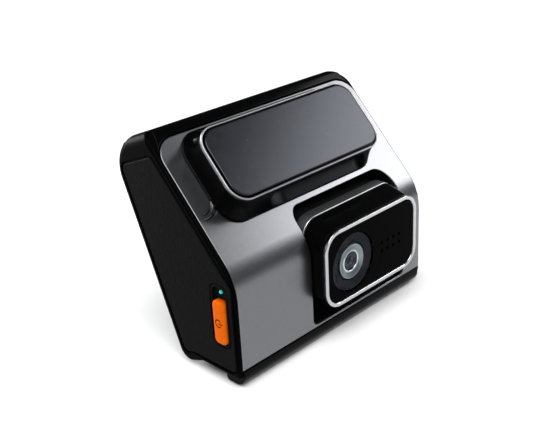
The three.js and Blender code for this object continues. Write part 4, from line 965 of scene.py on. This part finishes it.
KEPT = {
    "module_cradle": black_inner_and_painted_shade, "lens_barrel": black_inner_and_painted_shade, "lens_holder": black_inner_and_painted_shade, "speaker": chip,
    "rear_lens": lens_coat, "image_sensor": screen, "sensor_board": board, "sensor_connector": ceramic,
    "switch_stem": steel, "tact_switch": chip, "button_board": board, "status_led": ceramic,
    "pivot_pin_left": steel, "pivot_pin_right": steel, "friction_washer_left": aluminium,
    "friction_washer_right": aluminium, "display_panel": screen, "display_frame": aluminium,
    "main_board": board, "processor": chip, "thermal_pad": pad_grey, "heat_sink": aluminium,
    "supercapacitor_1": blue_wrap, "supercapacitor_2": blue_wrap, "usb_socket": steel, "card_socket": steel,
    "memory_card": chip, "gps_antenna": ceramic, "sensor_flex": amber,
}
for i in (1, 2):
    KEPT[f"left_cap_screw_{i}"] = steel
    KEPT[f"right_cap_screw_{i}"] = steel
for i in (1, 2, 3, 4):
    KEPT[f"board_screw_{i}"] = steel
for name, mat in KEPT.items():
    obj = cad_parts[name]
    obj.data.materials.clear()
    obj.data.materials.append(mat)
    # the mesh is left as it is; modifiers weld it, join its flat faces and round its edges
    weld = obj.modifiers.new("weld", "WELD")
    weld.merge_threshold = 2e-6
    flat = obj.modifiers.new("flat", "DECIMATE")
    flat.decimate_type, flat.angle_limit = "DISSOLVE", math.radians(0.5)
    soften(obj, 0.08, segments=2, angle=40)
    normals = obj.modifiers.new("normals", "WEIGHTED_NORMAL")
    normals.keep_sharp = True

# ---------------------------------------------------------------- stage, lights and camera

floor_z = cad_box[0][2] - 0.0003
floor = bpy.data.objects.new("floor", bpy.data.meshes.new("floor"))
FLOOR = 12  # half its side, in metres
corners = [(-FLOOR, -FLOOR), (FLOOR, -FLOOR), (FLOOR, FLOOR), (-FLOOR, FLOOR)]
floor.data.from_pydata([(x, y, floor_z) for x, y in corners], [], [(0, 1, 2, 3)])
bpy.context.scene.collection.objects.link(floor)
floor.data.materials.append(vary(shader("pale_floor", (0.90, 0.90, 0.90), 0.8), 3, 0.05, tint=0.01))


def area_light(name, place, width, height, power):
    """A rectangular light that faces the origin and is not seen itself."""
    data = bpy.data.lights.new(name, "AREA")
    data.shape, data.size, data.size_y = "RECTANGLE", width, height
    data.energy = power
    obj = bpy.data.objects.new(name, data)
    obj.location = place
    obj.rotation_euler = (-Vector(place)).to_track_quat("-Z", "Y").to_euler()
    obj.visible_camera = False
    bpy.context.scene.collection.objects.link(obj)


area_light("right_light", (0.652, -0.315, 0.376), 0.37, 0.31, 2.7)
area_light("left_light", (-0.8, -0.5, 0.35), 1.0, 1.0, 1.0)
area_light("back_light", (-0.2, 0.85, 0.18), 0.5, 0.22, 9.0)

sun_data = bpy.data.lights.new("overhead", "SUN")
sun_data.energy, sun_data.angle = 3.0, math.radians(50)
sun = bpy.data.objects.new("overhead", sun_data)
sun.rotation_euler = (math.radians(20), math.radians(-20), 0)
bpy.context.scene.collection.objects.link(sun)

world = bpy.data.worlds.new("studio")
world.use_nodes = True
background = world.node_tree.nodes["Background"]
background.inputs["Color"].default_value = (0.93, 0.95, 1.0, 1)
background.inputs["Strength"].default_value = 0.14
# behind the floor's edge the studio is as pale as the floor, though it sheds little light
pale = world.node_tree.nodes.new("ShaderNodeBackground")
pale.inputs["Color"].default_value = (0.93, 0.93, 0.935, 1)
rays = world.node_tree.nodes.new("ShaderNodeLightPath")
mix = world.node_tree.nodes.new("ShaderNodeMixShader")
world.node_tree.links.new(rays.outputs["Is Camera Ray"], mix.inputs["Fac"])
world.node_tree.links.new(background.outputs["Background"], mix.inputs[1])
world.node_tree.links.new(pale.outputs["Background"], mix.inputs[2])
world.node_tree.links.new(mix.outputs["Shader"], world.node_tree.nodes["World Output"].inputs["Surface"])
bpy.context.scene.world = world
bpy.context.scene.view_settings.view_transform = "Standard"

# The camera stands where the photograph was taken from: its three axes and its place in the device's frame
CAMERA_X = Vector((0.701, -0.711, -0.054))
CAMERA_Y = Vector((0.324, 0.25, 0.912))
CAMERA_Z = Vector((-0.635, -0.657, 0.406))
CAMERA_AT = Vector((-194.581, -170.451, 152.124))
cam_data = bpy.data.cameras.new("camera")
cam_data.sensor_width, cam_data.lens = 36, 58.63
camera = bpy.data.objects.new("camera", cam_data)
turn = Matrix((CAMERA_X, CAMERA_Y, CAMERA_Z)).transposed()
camera.matrix_world = Matrix.Translation((CAMERA_AT + ORIGIN) * 0.001) @ turn.to_4x4()
bpy.context.scene.collection.objects.link(camera)
bpy.context.scene.camera = camera
